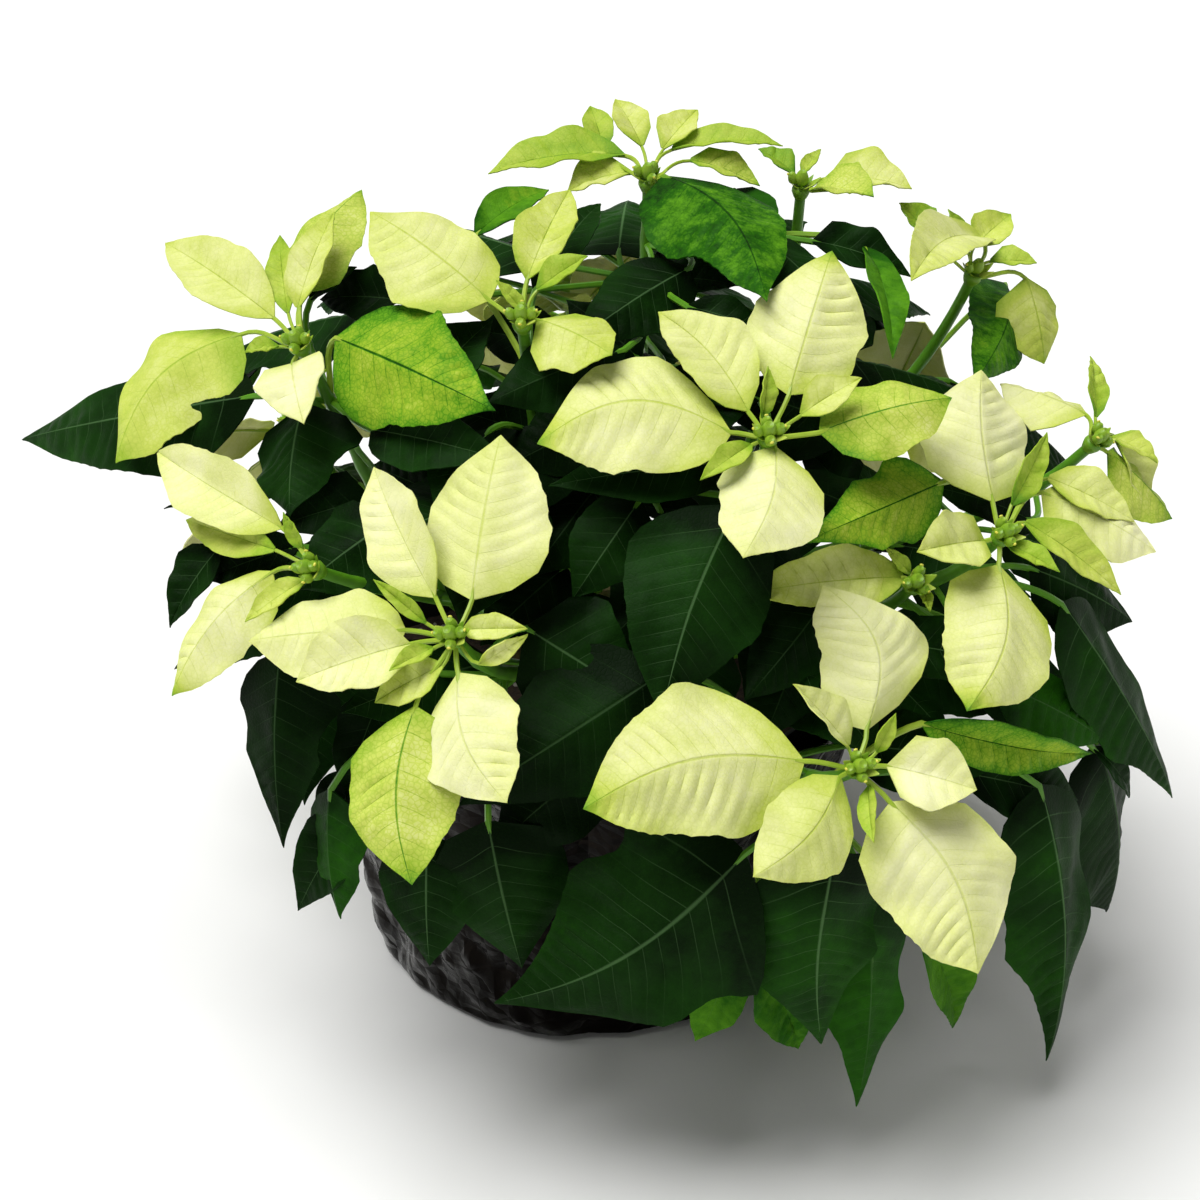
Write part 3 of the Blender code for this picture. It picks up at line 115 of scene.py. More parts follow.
def direction(azimuth: float, elevation: float) -> Place:
    """Unit vector of an azimuth and an elevation in degrees."""
    a, e = math.radians(azimuth), math.radians(elevation)
    return np.array((math.cos(a) * math.cos(e), math.sin(a) * math.cos(e), math.sin(e)))


def bezier(controls: Sequence[Place], t: float) -> Place:
    """The point at part t of a cubic Bezier curve with four controls."""
    weights = ((1 - t) ** 3, 3 * (1 - t) ** 2 * t, 3 * (1 - t) * t * t, t**3)
    return sum(control * weight for control, weight in zip(controls, weights))


def beside(along: Place) -> Place:
    """A direction at right angles to another."""
    return np.cross(along, UP if abs(along[2]) < 0.8 else np.array((1.0, 0.0, 0.0)))


def ring(centre: Place, side: Place, other: Place, radius: float, count: int) -> list[Place]:
    """Places round a circle whose plane holds two directions, the first on the side."""
    angles = [math.tau * k / count for k in range(count)]
    return [centre + (side * math.cos(a) + other * math.sin(a)) * radius for a in angles]


def rolled(axis: Place, facing: Place, roll: float) -> Place:
    """The normal of a blade's upper side.

    Args:
        axis: Unit vector along the midrib.
        facing: Roughly where the upper side looks.
        roll: Turn about the midrib, in degrees.

    Returns:
        The unit normal.
    """
    level = unit(facing - axis * (facing @ axis))
    a = math.radians(roll)
    return level * math.cos(a) + np.cross(axis, level) * math.sin(a)


def moved(part: Mesh, turn: Matrix, place: Place) -> Mesh:
    """Turns a part about the origin, then carries it to its place.

    Args:
        part: The part.
        turn: The rotation.
        place: Where its origin goes.

    Returns:
        The same part.
    """
    bmesh.ops.rotate(part, cent=(0, 0, 0), matrix=turn, verts=part.verts)
    bmesh.ops.translate(part, vec=Vector(place), verts=part.verts)
    return part


def spun(part: Mesh, outline: Sequence[tuple[float, float]], steps: int) -> Mesh:
    """Spins an outline once round the upright axis.

    Args:
        part: The empty part that gets the surface.
        outline: (radius, height) points, both ends on the axis for a closed surface.
        steps: How many steps the turn has.

    Returns:
        The same part, with its faces to the outside.
    """
    made = [part.verts.new((radius, 0.0, z)) for radius, z in outline]
    edges = [part.edges.new(pair) for pair in zip(made, made[1:])]
    bmesh.ops.spin(
        part, geom=made + edges, cent=(0, 0, 0), axis=(0, 0, 1), angle=math.tau, steps=steps, use_merge=True
    )
    bmesh.ops.remove_doubles(part, verts=part.verts, dist=1e-3)
    bmesh.ops.recalc_face_normals(part, faces=part.faces)
    return part


def new_object(name: str, data: bpy.types.ID) -> bpy.types.Object:
    """An object with its data, in the scene."""
    made = bpy.data.objects.new(name, data)
    bpy.context.scene.collection.objects.link(made)
    return made


def new_material(name: str) -> tuple[bpy.types.Material, bpy.types.NodeTree, bpy.types.Node]:
    """A material, its node tree and its surface shader."""
    material = bpy.data.materials.new(name)
    material.use_nodes = True
    return material, material.node_tree, material.node_tree.nodes["Principled BSDF"]


def linear(code: str) -> tuple[float, float, float, float]:
    """Turns an sRGB colour into what a shader takes.

    Args:
        code: The colour as #RRGGBB.

    Returns:
        Linear red, green and blue, with an alpha of one.
    """
    parts = [int(code[i : i + 2], 16) / 255 for i in (1, 3, 5)]
    lit = [p / 12.92 if p <= 0.04045 else ((p + 0.055) / 1.055) ** 2.4 for p in parts]
    return lit[0], lit[1], lit[2], 1.0


def feed(tree: bpy.types.NodeTree, node: bpy.types.Node, inputs: dict) -> None:
    """Sets or links what goes into a node.

    Args:
        tree: The node's tree.
        node: The node.
        inputs: By socket name or number, a value, or the output socket that is linked to it.
    """
    for socket, source in inputs.items():
        if isinstance(source, bpy.types.NodeSocket):
            tree.links.new(source, node.inputs[socket])
        else:
            node.inputs[socket].default_value = source


def add_node(
    tree: bpy.types.NodeTree, kind: str, settings: dict | None = None, inputs: dict | None = None
) -> bpy.types.Node:
    """Adds a shader node with its settings and what feeds it.

    Args:
        tree: The node tree that gets it.
        kind: Blender's name for the kind of node.
        settings: Properties of the node.
        inputs: By socket name or number, a value, or the output socket that is linked to it.

    Returns:
        The node.
    """
    made = tree.nodes.new(kind)
    for name, value in (settings or {}).items():
        setattr(made, name, value)
    feed(tree, made, inputs or {})
    return made


class Tint(Enum):
    """How a blade is coloured: its chlorophyll, how patchy that is, and what veins, margin and tip add."""

    CREAM = (0.05, 0.07, 0.08, 0.04, 0.12)
    GREEN_TIPPED = (0.08, 0.08, 0.11, 0.06, 0.42)
    PALE = (0.12, 0.08, 0.10, 0.04, 0.12)
    YELLOW = (0.19, 0.10, 0.11, 0.05, 0.14)
    LIME = (0.33, 0.10, 0.09, 0.02, 0.08)
    DARK_LIME = (0.43, 0.10, 0.10, 0.05, 0.05)
    NETTED = (0.23, 0.12, 0.28, 0.08, 0.30)
    VARIEGATED = (0.37, 0.18, 0.32, 0.16, 0.30)
    MOTTLED = (0.64, 0.30, 0.16, 0.05, 0.05)
    OLIVE = (0.50, 0.15, 0.05, 0.05, 0.0)
    FRESH = (0.62, 0.14, -0.12, 0.0, 0.0)
    MIDDLE = (0.78, 0.10, -0.25, -0.02, 0.0)
    VEINED = (0.86, 0.07, -0.58, -0.03, 0.0)
    DARK = (0.92, 0.07, -0.40, -0.03, 0.0)
    # Darkest green: partly the leaves' own deep colour, partly painted shade for leaves that lie deep in the
    # plant's shade
    DARKEST = (0.99, 0.04, -0.16, -0.02, 0.0)


class Outline(Enum):
    """A blade's half width along its midrib: at the solid's few stations, then at the finer ones."""

    BRACT = (
        ((0.10, 0.50), (0.38, 1.0), (0.70, 0.68)),
        (
            (0.0, 0.05), (0.04, 0.32), (0.10, 0.59), (0.20, 0.87), (0.30, 1.0), (0.38, 1.04), (0.50, 1.03),
            (0.60, 0.96), (0.70, 0.82), (0.80, 0.62), (0.90, 0.33), (0.96, 0.12), (1.0, 0.0),
        ),
    )
    SMALL = (
        ((0.30, 0.95), (0.66, 0.75)),
        (
            (0.0, 0.12), (0.05, 0.36), (0.15, 0.70), (0.30, 0.95), (0.45, 1.0), (0.66, 0.79), (0.82, 0.46),
            (0.93, 0.17), (1.0, 0.0),
        ),
    )
    LEAF = (
        ((0.08, 0.60), (0.34, 1.0), (0.68, 0.64)),
        (
            (0.0, 0.05), (0.03, 0.30), (0.08, 0.60), (0.16, 0.83), (0.25, 0.95), (0.34, 1.0), (0.46, 0.96),
            (0.58, 0.83), (0.68, 0.66), (0.80, 0.42), (0.90, 0.19), (0.96, 0.06), (1.0, 0.0),
        ),
    )
    LOBED = (
        ((0.07, 0.60), (0.27, 1.0), (0.38, 0.80), (0.54, 0.80), (0.68, 0.50)),
        (
            (0.0, 0.05), (0.03, 0.30), (0.08, 0.62), (0.17, 0.87), (0.25, 1.0), (0.29, 0.98), (0.34, 0.85),
            (0.40, 0.79), (0.48, 0.81), (0.54, 0.82), (0.59, 0.71), (0.68, 0.50), (0.80, 0.28), (0.92, 0.09),
            (1.0, 0.0),
        ),
    )
    SHADED = (((0.16, 0.75), (0.48, 0.92)), LEAF[1])

    def width(self, t: Place) -> Place:
        """The finer half width as a smooth curve.

        Args:
            t: Parts of the blade's length.

        Returns:
            Parts of the widest half width.
        """
        x, y = np.array(self.value[1]).T
        slope = np.gradient(y, x)
        k = np.clip(np.searchsorted(x, t) - 1, 0, len(x) - 2)
        step = x[k + 1] - x[k]
        p = (t - x[k]) / step
        rise = y[k] * (1 + 2 * p) * (1 - p) ** 2 + y[k + 1] * p * p * (3 - 2 * p)
        return np.maximum(rise + step * (slope[k] * p * (1 - p) ** 2 - slope[k + 1] * p * p * (1 - p)), 0.0)


@dataclass(frozen=True)
class Bract:
    """One bract of a bloom, by picture points, and how it stands on the hub's plane."""

    base: tuple[int, int]
    tip: tuple[int, int]
    width: float
    rise: float
    roll: float
    fold: float
    arch: float
    lean: float = 0.0
    tint: Tint = Tint.CREAM


@dataclass(frozen=True)
class Bloom:
    """One bloom in view: its heart in the picture, the way it faces, how deep it lies, its bracts."""

    name: str
    heart: tuple[int, int]
    azimuth: float
    elevation: float
    deep: float
    bracts: tuple[Bract, ...]
    buds: int = 5


@dataclass(frozen=True)
class BackBloom:
    """One bloom on the side away from the viewer, by its direction from the dome's centre."""

    name: str
    azimuth: float
    elevation: float
    length: float
    count: int
    turn: float


@dataclass(frozen=True)
class Leaf:
    """One green leaf: picture points, and how far its base and its tip lie behind the dome."""

    base: tuple[int, int]
    tip: tuple[int, int]
    width: float
    deep: tuple[float, float]
    roll: float = 0.0
    fold: float = 10.0
    lobed: bool = False
    lean: float = 0.0
    tint: Tint = Tint.DARK


BLOOMS = (
    Bloom("front_right", (860, 766), -75, 42, 0, (
        Bract((803, 761), (583, 809), 150, -4, 0, 6, 0.06, -0.3, Tint.GREEN_TIPPED),
        Bract((848, 746), (793, 684), 40, 9, 20, 26, 0.03, 0, Tint.PALE),
        Bract((867, 729), (822, 585), 117, 2, 0, 10, 0.06, -0.55),
        Bract((877, 752), (896, 713), 20, 9, 0, 20, 0.02, 0, Tint.LIME),
        Bract((887, 766), (977, 790), 75, 6, 0, 12, 0.05),
        Bract((891, 803), (978, 974), 147, -6, 0, 8, 0.07, 0.25),
        Bract((840, 777), (753, 877), 95, 7, 0, 10, 0.05, 0.3, Tint.PALE),
        Bract((869, 786), (874, 843), 20, 9, 55, 12, 0.03, 0, Tint.LIME),
    )),
    Bloom("front_left", (450, 633), -112, 48, 0, (
        Bract((472, 599), (501, 435), 130, 2, 0, 8, 0.05),
        Bract((435, 597), (374, 467), 70, 0, -20, 10, 0.05),
        Bract((426, 623), (373, 579), 20, 8, 0, 20, 0.02, 0, Tint.LIME),
        Bract((405, 630), (249, 641), 90, -6, 0, 8, 0.05),
        Bract((410, 644), (296, 682), 75, 7, 0, 10, 0.05),
        Bract((433, 648), (389, 671), 22, 9, 0, 20, 0.02, 0, Tint.LIME),
        Bract((443, 665), (375, 703), 50, -4, 0, 10, 0.04, 0, Tint.YELLOW),
        Bract((458, 674), (507, 803), 105, 2, 10, 8, 0.07, -0.28),
        Bract((415, 707), (412, 885), 115, -10, 0, 8, 0.06, -0.25, Tint.NETTED),
        Bract((463, 630), (528, 629), 30, 8, 0, 16, 0.03, 0, Tint.YELLOW),
        Bract((479, 664), (528, 634), 20, 2, 50, 10, 0.03, 0, Tint.YELLOW),
    )),
    Bloom("centre", (769, 430), -85, 58, 0, (
        Bract((730, 432), (537, 444), 120, -4, 0, 8, 0.08, -0.5, Tint.GREEN_TIPPED),
        Bract((748, 411), (658, 312), 75, 2, 0, 10, 0.05, -0.2, Tint.PALE),
        Bract((762, 418), (768, 366), 18, 8, 40, 18, 0.02, 0, Tint.LIME),
        Bract((789, 394), (832, 251), 115, 4, 0, 8, 0.05, 0, Tint.GREEN_TIPPED),
        Bract((801, 415), (862, 378), 40, 8, 0, 14, 0.04, 0, Tint.PALE),
        Bract((820, 432), (952, 398), 85, -4, 0, 10, 0.07, 0, Tint.NETTED),
        Bract((775, 447), (743, 558), 112, 5, 0, 8, 0.06, 0.22),
        Bract((751, 445), (700, 480), 28, 6, 0, 16, 0.03, 0, Tint.LIME),
    )),
    Bloom("right", (1007, 531), -60, 50, 0, (
        Bract((993, 501), (981, 370), 115, 3, 0, 8, 0.05, 0.15),
        Bract((1012, 505), (1047, 432), 30, 8, 20, 14, 0.03, 0, Tint.LIME),
        Bract((1042, 492), (1156, 552), 74, 2, 0, 12, 0.06),
        Bract((1048, 478), (1134, 522), 50, 9, 0, 12, 0.05, 0, Tint.PALE),
        Bract((1025, 522), (1121, 595), 45, -4, 0, 14, 0.05, 0, Tint.YELLOW),
        Bract((1007, 544), (1060, 572), 22, 8, 0, 16, 0.03, 0, Tint.LIME),
        Bract((984, 541), (917, 552), 62, 6, 0, 14, 0.05, 0, Tint.PALE),
        Bract((999, 566), (967, 711), 127, 0, 0, 8, 0.07, 0.3, Tint.GREEN_TIPPED),
    )),
    Bloom("left", (306, 567), -135, 34, 6, (
        Bract((282, 528), (157, 451), 70, 2, 0, 12, 0.06),
        Bract((275, 550), (186, 520), 45, -6, 0, 12, 0.05, 0, Tint.YELLOW),
        Bract((303, 549), (283, 512), 16, 7, 0, 16, 0.02, 0, Tint.LIME),
        Bract((272, 572), (172, 696), 70, 4, 0, 16, 0.07, -0.2, Tint.GREEN_TIPPED),
        Bract((306, 580), (245, 622), 27, 9, 0, 16, 0.04, 0, Tint.YELLOW),
    )),
    Bloom("upper_left", (296, 339), -125, 60, 0, (
        Bract((274, 318), (165, 243), 66, 4, 0, 12, 0.05, 0, Tint.PALE),
        Bract((240, 334), (116, 463), 100, -8, 0, 10, 0.08, -0.42, Tint.YELLOW),
        Bract((278, 346), (245, 352), 20, 5, 0, 14, 0.03, 0, Tint.LIME),
        Bract((292, 364), (304, 424), 74, 6, 0, 12, 0.06),
        Bract((298, 308), (335, 212), 45, 6, 0, 14, 0.05, 0, Tint.YELLOW),
        Bract((302, 292), (362, 190), 72, -6, 0, 12, 0.05, 0.3, Tint.NETTED),
        Bract((288, 313), (280, 235), 34, 0, 0, 14, 0.04, 0, Tint.LIME),
    )),
    Bloom("upper_centre_left", (521, 314), -100, 66, 0, (
        Bract((489, 300), (370, 212), 100, 4, 0, 8, 0.06, 0, Tint.PALE),
        Bract((524, 313), (496, 280), 16, 7, 0, 18, 0.02, 0, Tint.LIME),
        Bract((527, 280), (570, 190), 56, 2, 0, 12, 0.05, 0, Tint.YELLOW),
        Bract((537, 290), (588, 256), 30, 7, 0, 16, 0.03, 0, Tint.LIME),
        Bract((538, 320), (612, 355), 75, 5, 0, 14, 0.06, 0, Tint.YELLOW),
    )),
    Bloom("top", (648, 172), -90, 76, 0, (
        Bract((632, 172), (567, 192), 58, 5, 0, 12, 0.06, 0, Tint.YELLOW),
        Bract((625, 155), (488, 174), 40, -6, 0, 12, 0.07, 0, Tint.LIME),
        Bract((604, 150), (590, 106), 33, 4, 0, 14, 0.04, 0, Tint.LIME),
        Bract((642, 146), (615, 99), 38, 6, 0, 14, 0.04, 0, Tint.YELLOW),
        Bract((663, 149), (698, 110), 40, 5, 0, 14, 0.04, 0, Tint.YELLOW),
        Bract((672, 149), (783, 146), 30, 3, 0, 14, 0.07, 0, Tint.LIME),
        Bract((690, 160), (760, 186), 34, -6, 0, 14, 0.05, 0, Tint.NETTED),
    ), 4),
    Bloom("top_right", (802, 179), -80, 78, 0, (
        Bract((794, 174), (758, 149), 28, 4, 0, 14, 0.04, 0, Tint.DARK_LIME),
        Bract((802, 174), (821, 149), 15, 6, 0, 14, 0.03, 0, Tint.LIME),
        Bract((828, 178), (912, 189), 44, -2, 0, 14, 0.06, 0, Tint.YELLOW),
        Bract((812, 190), (874, 197), 54, 6, 0, 14, 0.05, 0, Tint.NETTED),
    ), 2),
    Bloom("upper_right", (977, 267), -50, 66, 0, (
        Bract((984, 238), (911, 281), 60, 10, 0, 8, 0.05, -0.4, Tint.PALE),
        Bract((974, 247), (1011, 214), 42, 6, 0, 14, 0.04, 0, Tint.YELLOW),
        Bract((932, 240), (899, 203), 40, 4, 0, 14, 0.04, 0, Tint.DARK_LIME),
        Bract((967, 247), (948, 209), 17, 8, 0, 14, 0.02, 0, Tint.LIME),
        Bract((990, 261), (1037, 263), 26, 4, 0, 14, 0.03, 0, Tint.LIME),
        Bract((1026, 278), (1044, 364), 80, -14, 0, 12, 0.06, 0, Tint.YELLOW),
    ), 2),
    Bloom("far_right", (1101, 436), -30, 52, 0, (
        Bract((1096, 417), (1090, 356), 24, 4, 0, 14, 0.03, 0, Tint.LIME),
        Bract((1112, 437), (1157, 463), 24, 4, 0, 14, 0.04, 0, Tint.YELLOW),
        Bract((1116, 438), (1140, 510), 52, 3, 0, 12, 0.05, 0, Tint.PALE),
        Bract((1108, 452), (1172, 519), 52, -8, 0, 12, 0.05, 0, Tint.NETTED),
        Bract((1086, 414), (1000, 384), 110, -6, 0, 12, 0.05),
    ), 4),
    Bloom("small_right", (917, 581), -75, 45, 24, (
        Bract((904, 577), (746, 593), 62, 0, 0, 10, 0.06, 0, Tint.YELLOW),
        Bract((910, 574), (886, 548), 16, 6, 0, 16, 0.02, 0, Tint.LIME),
        Bract((922, 586), (930, 612), 14, 6, 0, 16, 0.02, 0, Tint.LIME),
    ), 4),
)

BACK_BLOOMS = (
    BackBloom("back_left", 138, 14, 52, 6, 10),
    BackBloom("back_centre", 96, 28, 66, 7, 40),
    BackBloom("back_right", 50, 14, 60, 6, 0),
)
BACK_TINTS = (Tint.CREAM, Tint.PALE, Tint.CREAM, Tint.GREEN_TIPPED, Tint.YELLOW, Tint.CREAM, Tint.PALE)

# Leaves in the darkest tint lie deep in the plant's shade or are the darkest ones in view; their green is
# partly painted shade
LEAVES = (
    Leaf((254, 396), (22, 440), 116, (14, 0), fold=12, lean=0.12),
    Leaf((304, 404), (290, 517), 110, (30, 26)),
    Leaf((392, 520), (300, 590), 108, (34, 28)),
    Leaf((222, 545), (170, 628), 52, (30, 22), fold=12),
    Leaf((280, 652), (284, 848), 112, (22, 26), fold=14, lobed=True, tint=Tint.DARKEST),
    Leaf((330, 790), (341, 919), 64, (40, 40), roll=20, fold=14, tint=Tint.MIDDLE),
    Leaf((362, 806), (298, 911), 68, (52, 46)),
    Leaf((428, 834), (430, 966), 112, (38, 32)),
    Leaf((488, 822), (522, 968), 146, (34, 36), fold=12),
    Leaf((664, 672), (458, 806), 150, (32, 24), tint=Tint.DARKEST),
    Leaf((745, 854), (494, 1003), 236, (18, 20), lobed=True, lean=0.2),
    Leaf((834, 855), (821, 1044), 185, (10, 6), fold=12, lobed=True, lean=-0.17, tint=Tint.VEINED),
    Leaf((870, 900), (856, 1107), 106, (28, -38), fold=16, lobed=True, tint=Tint.MIDDLE),
    Leaf((735, 954), (695, 1041), 60, (48, 48), tint=Tint.FRESH),
    Leaf((762, 950), (798, 1049), 73, (40, 40), fold=12, tint=Tint.FRESH),
    Leaf((920, 925), (952, 1028), 52, (44, 40), fold=14, tint=Tint.FRESH),
    Leaf((1040, 786), (1046, 1061), 124, (24, 0), fold=14, lobed=True, lean=0.1, tint=Tint.VEINED),
    Leaf((1096, 742), (1106, 912), 118, (46, 42)),
    Leaf((1062, 604), (1172, 798), 94, (18, 2), fold=12, lobed=True, lean=-0.2, tint=Tint.VEINED),
    Leaf((1000, 684), (1106, 742), 78, (34, 26), tint=Tint.MIDDLE),
    Leaf((922, 724), (1093, 753), 56, (18, 16), roll=30, fold=14, tint=Tint.VARIEGATED),
    Leaf((1093, 747), (1129, 798), 24, (30, 24)),
    Leaf((736, 506), (660, 721), 164, (20, 12), lean=-0.13),
    Leaf((526, 628), (644, 702), 144, (34, 28), fold=8),
    Leaf((490, 430), (435, 515), 90, (36, 32)),
    Leaf((624, 350), (486, 404), 92, (34, 30), tint=Tint.DARKEST),
    Leaf((732, 462), (548, 486), 76, (30, 28)),
    Leaf((640, 500), (572, 600), 92, (38, 34)),
    Leaf((336, 338), (496, 411), 138, (12, 8), fold=8, tint=Tint.VARIEGATED),
    Leaf((425, 392), (493, 320), 70, (30, 30)),
    Leaf((476, 235), (549, 190), 40, (20, 20), tint=Tint.OLIVE),
    Leaf((535, 290), (601, 204), 50, (26, 26)),
    Leaf((664, 176), (767, 302), 130, (10, 4), fold=12, lean=0.27, tint=Tint.MOTTLED),
    Leaf((735, 190), (773, 236), 40, (24, 24), tint=Tint.MIDDLE),
    Leaf((756, 236), (830, 305), 78, (24, 20)),
    Leaf((812, 241), (912, 277), 52, (22, 20), fold=12),
    Leaf((865, 248), (893, 359), 40, (14, 10), fold=14, tint=Tint.FRESH),
    Leaf((690, 268), (572, 345), 90, (26, 24)),
    Leaf((688, 307), (771, 335), 40, (22, 20)),
    Leaf((825, 600), (744, 701), 90, (38, 32), tint=Tint.DARKEST),
    Leaf((943, 482), (797, 545), 96, (22, 16), fold=12, lobed=True, tint=Tint.VARIEGATED),
    Leaf((1006, 284), (972, 386), 82, (6, 4), fold=14, lean=0.1, tint=Tint.MOTTLED),
    Leaf((310, 300), (357, 267), 26, (26, 26)),
    Leaf((880, 640), (1020, 668), 70, (40, 36)),
    Leaf((806, 622), (762, 742), 112, (50, 42), tint=Tint.DARKEST),
    Leaf((604, 752), (492, 850), 112, (46, 40), tint=Tint.DARKEST),
    Leaf((384, 690), (346, 800), 62, (50, 48), tint=Tint.DARKEST),
    Leaf((560, 420), (520, 520), 96, (50, 46), tint=Tint.DARKEST),
    Leaf((690, 560), (600, 650), 90, (62, 56), tint=Tint.DARKEST),
    Leaf((1030, 568), (1132, 622), 96, (36, 30)),
    Leaf((640, 404), (505, 468), 104, (50, 46), tint=Tint.DARKEST),
    Leaf((606, 476), (530, 578), 104, (64, 58), tint=Tint.DARKEST),
    Leaf((566, 566), (480, 646), 104, (68, 62), tint=Tint.DARKEST),
    Leaf((372, 430), (512, 462), 76, (36, 32)),
    Leaf((958, 772), (1078, 800), 74, (42, 38)),
)

# Small leaves in the shade between the branches, which close what would else be see-through gaps; they stand
# for shade more than for leaves in view, and their darkest tint is painted shade
DEEP_LEAVES = tuple(
    Leaf(*places, tint=Tint.DARKEST)
    for places in (
        ((850, 430), (706, 386), 84, (58, 66)),
        ((880, 520), (764, 476), 78, (56, 62)),
        ((760, 520), (680, 476), 60, (52, 52)),
        ((560, 446), (446, 408), 74, (62, 62)),
        ((372, 500), (276, 528), 70, (48, 40)),
        ((300, 546), (206, 580), 56, (36, 30)),
        ((1030, 520), (926, 486), 66, (46, 44)),
        ((560, 350), (470, 330), 66, (50, 50)),
        ((640, 360), (566, 300), 74, (56, 60)),
        ((400, 300), (320, 300), 60, (44, 40)),
        ((820, 350), (860, 300), 74, (52, 52)),
        ((380, 780), (310, 822), 60, (60, 60)),
        ((650, 440), (756, 398), 70, (66, 66)),
        ((720, 560), (830, 536), 66, (66, 60)),
        ((850, 500), (800, 446), 60, (72, 66)),
        ((740, 522), (632, 506), 60, (84, 84)),
        ((450, 500), (370, 466), 60, (60, 56)),
        ((640, 280), (740, 286), 60, (70, 62)),
        ((760, 400), (664, 370), 60, (78, 78)),
    )
)


@dataclass
class Viewpoint:
    """Where the plant is seen from, and the dome that its flower heads lie on."""

    distance: float = 950.0
    elevation: float = 28.0
    target: tuple[float, float, float] = (4.0, 0.0, 137.0)
    field_width: float = 438.0
    picture: float = 1200.0
    film: float = 36.0
    dome_centre: tuple[float, float, float] = (9.0, 0.0, 122.0)
    dome_radii: tuple[float, float, float] = (203.0, 190.0, 176.0)
    narrowest_sight: float = 0.55
    widest_part: float = 0.95

    def __post_init__(self) -> None:
        """Works out the view's axes and the eye."""
        self.centre = np.array(self.dome_centre)
        self.radii = np.array(self.dome_radii)
        self.axis = -direction(-90.0, self.elevation)
        self.right = np.array((1.0, 0.0, 0.0))
        self.up = np.cross(self.right, self.axis)
        self.eye = np.array(self.target) - self.axis * self.distance

    def sight(self, point: Sequence[float]) -> Place:
        """Direction of the sight line through a picture point, one unit deep."""
        scale = self.field_width / self.picture / self.distance
        across, upward = (point[0] - self.picture / 2) * scale, (self.picture / 2 - point[1]) * scale
        return self.axis + self.right * across + self.up * upward

    def at_depth(self, point: Sequence[float], behind: float) -> Place:
        """The place on a picture point's sight line at a depth.

        Args:
            point: The picture point.
            behind: How far behind the dome the place is.

        Returns:
            The place.
        """
        ray = self.sight(point) / self.radii
        start = (self.eye - self.centre) / self.radii
        a, b, c = ray @ ray, start @ ray, start @ start - 1.0
        depth = (-b - math.sqrt(max(b * b - a * c, 0.0))) / a
        return self.eye + self.sight(point) * (depth + behind)

    def on_plane(self, point: Sequence[float], origin: Place, normal: Place, offset: float) -> Place:
        """Where a picture point's sight line meets the plane at an offset along its normal."""
        ray = self.sight(point)
        return self.eye + ray * (((origin - self.eye) @ normal + offset) / (ray @ normal))

    def half_width(self, width: float, base: Place, tip: Place, facing: Place, roll: float) -> float:
        """Half of the true width of a blade that is seen so many picture points wide.

        Args:
            width: Width in picture points.
            base: Where the blade starts.
            tip: Where it ends.
            facing: Roughly where its upper side looks.
            roll: Turn about its midrib, in degrees.

        Returns:
            Half the width in millimetres.
        """
        depth = float(((base + tip) / 2 - self.eye) @ self.axis)
        axis = unit(tip - base)
        across = np.cross(rolled(axis, facing, roll), axis)
        along = unit(np.array((axis @ self.right, axis @ self.up)))
        seen = abs(across @ self.right * -along[1] + across @ self.up * along[0])
        true = width * self.field_width / self.picture * depth / self.distance
        return min(true / max(seen, self.narrowest_sight), self.widest_part * apart(base, tip)) / 2

    def add_camera(self) -> None:
        """Makes the camera and gives it to the scene."""
        data = bpy.data.cameras.new("camera")
        data.sensor_width = self.film
        data.lens = self.film * self.distance / self.field_width
        camera = new_object("camera", data)
        camera.location = Vector(self.eye) * MM
        camera.rotation_euler = Vector(self.axis).to_track_quat("-Z", "Y").to_euler()
        bpy.context.scene.camera = camera


VIEW = Viewpoint()


@dataclass
class Body:
    """One object in the making: parts in millimetres, gathered with their looks."""

    name: str
    node: str
    slot: str

    def __post_init__(self) -> None:
        """Starts with an empty mesh."""
        self.whole = self.part()

    def part(self) -> Mesh:
        """An empty part that has the layers the finishes read.

        Returns:
            The part.
        """
        part = bmesh.new()
        part.loops.layers.uv.new("blade")
        for look in LOOKS:
            part.verts.layers.float.new(look)
        return part

    def take(self, part: Mesh, slot: int = -1, tone: float | None = None) -> None:
        """Adds a part and frees it.

        Args:
            part: The part's mesh.
            slot: The material slot of its faces, or -1 where they have their own.
            tone: Its chlorophyll, where its vertices don't say.
        """
        if slot >= 0:
            for face in part.faces:
                face.material_index = slot
        if tone is not None:
            layer = part.verts.layers.float["tone"]
            for vertex in part.verts:
                vertex[layer] = tone
        mesh = bpy.data.meshes.new("part")
        part.to_mesh(mesh)
        part.free()
        self.whole.from_mesh(mesh)
        bpy.data.meshes.remove(mesh)

    def finish(self, finishes: Sequence[bpy.types.Material], sharp: float = 50.0) -> bpy.types.Object:
        """Makes the object, which rides with the plant and stands for its node.

        Args:
            finishes: Its materials, by slot.
            sharp: The angle past which an edge is shaded sharp, in degrees.

        Returns:
            The object.
        """
        bmesh.ops.scale(self.whole, vec=(MM, MM, MM), verts=self.whole.verts)
        mesh = bpy.data.meshes.new(self.name)
        self.whole.to_mesh(mesh)
        self.whole.free()
        for finish in finishes:
            mesh.materials.append(finish)
        mesh.shade_smooth()
        mesh.set_sharp_from_angle(angle=math.radians(sharp))
        obj = new_object(self.name, mesh)
        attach(obj, "root")
        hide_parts(self.node)
        LOG.info("%s: %d faces", self.name, len(mesh.polygons))
        return obj


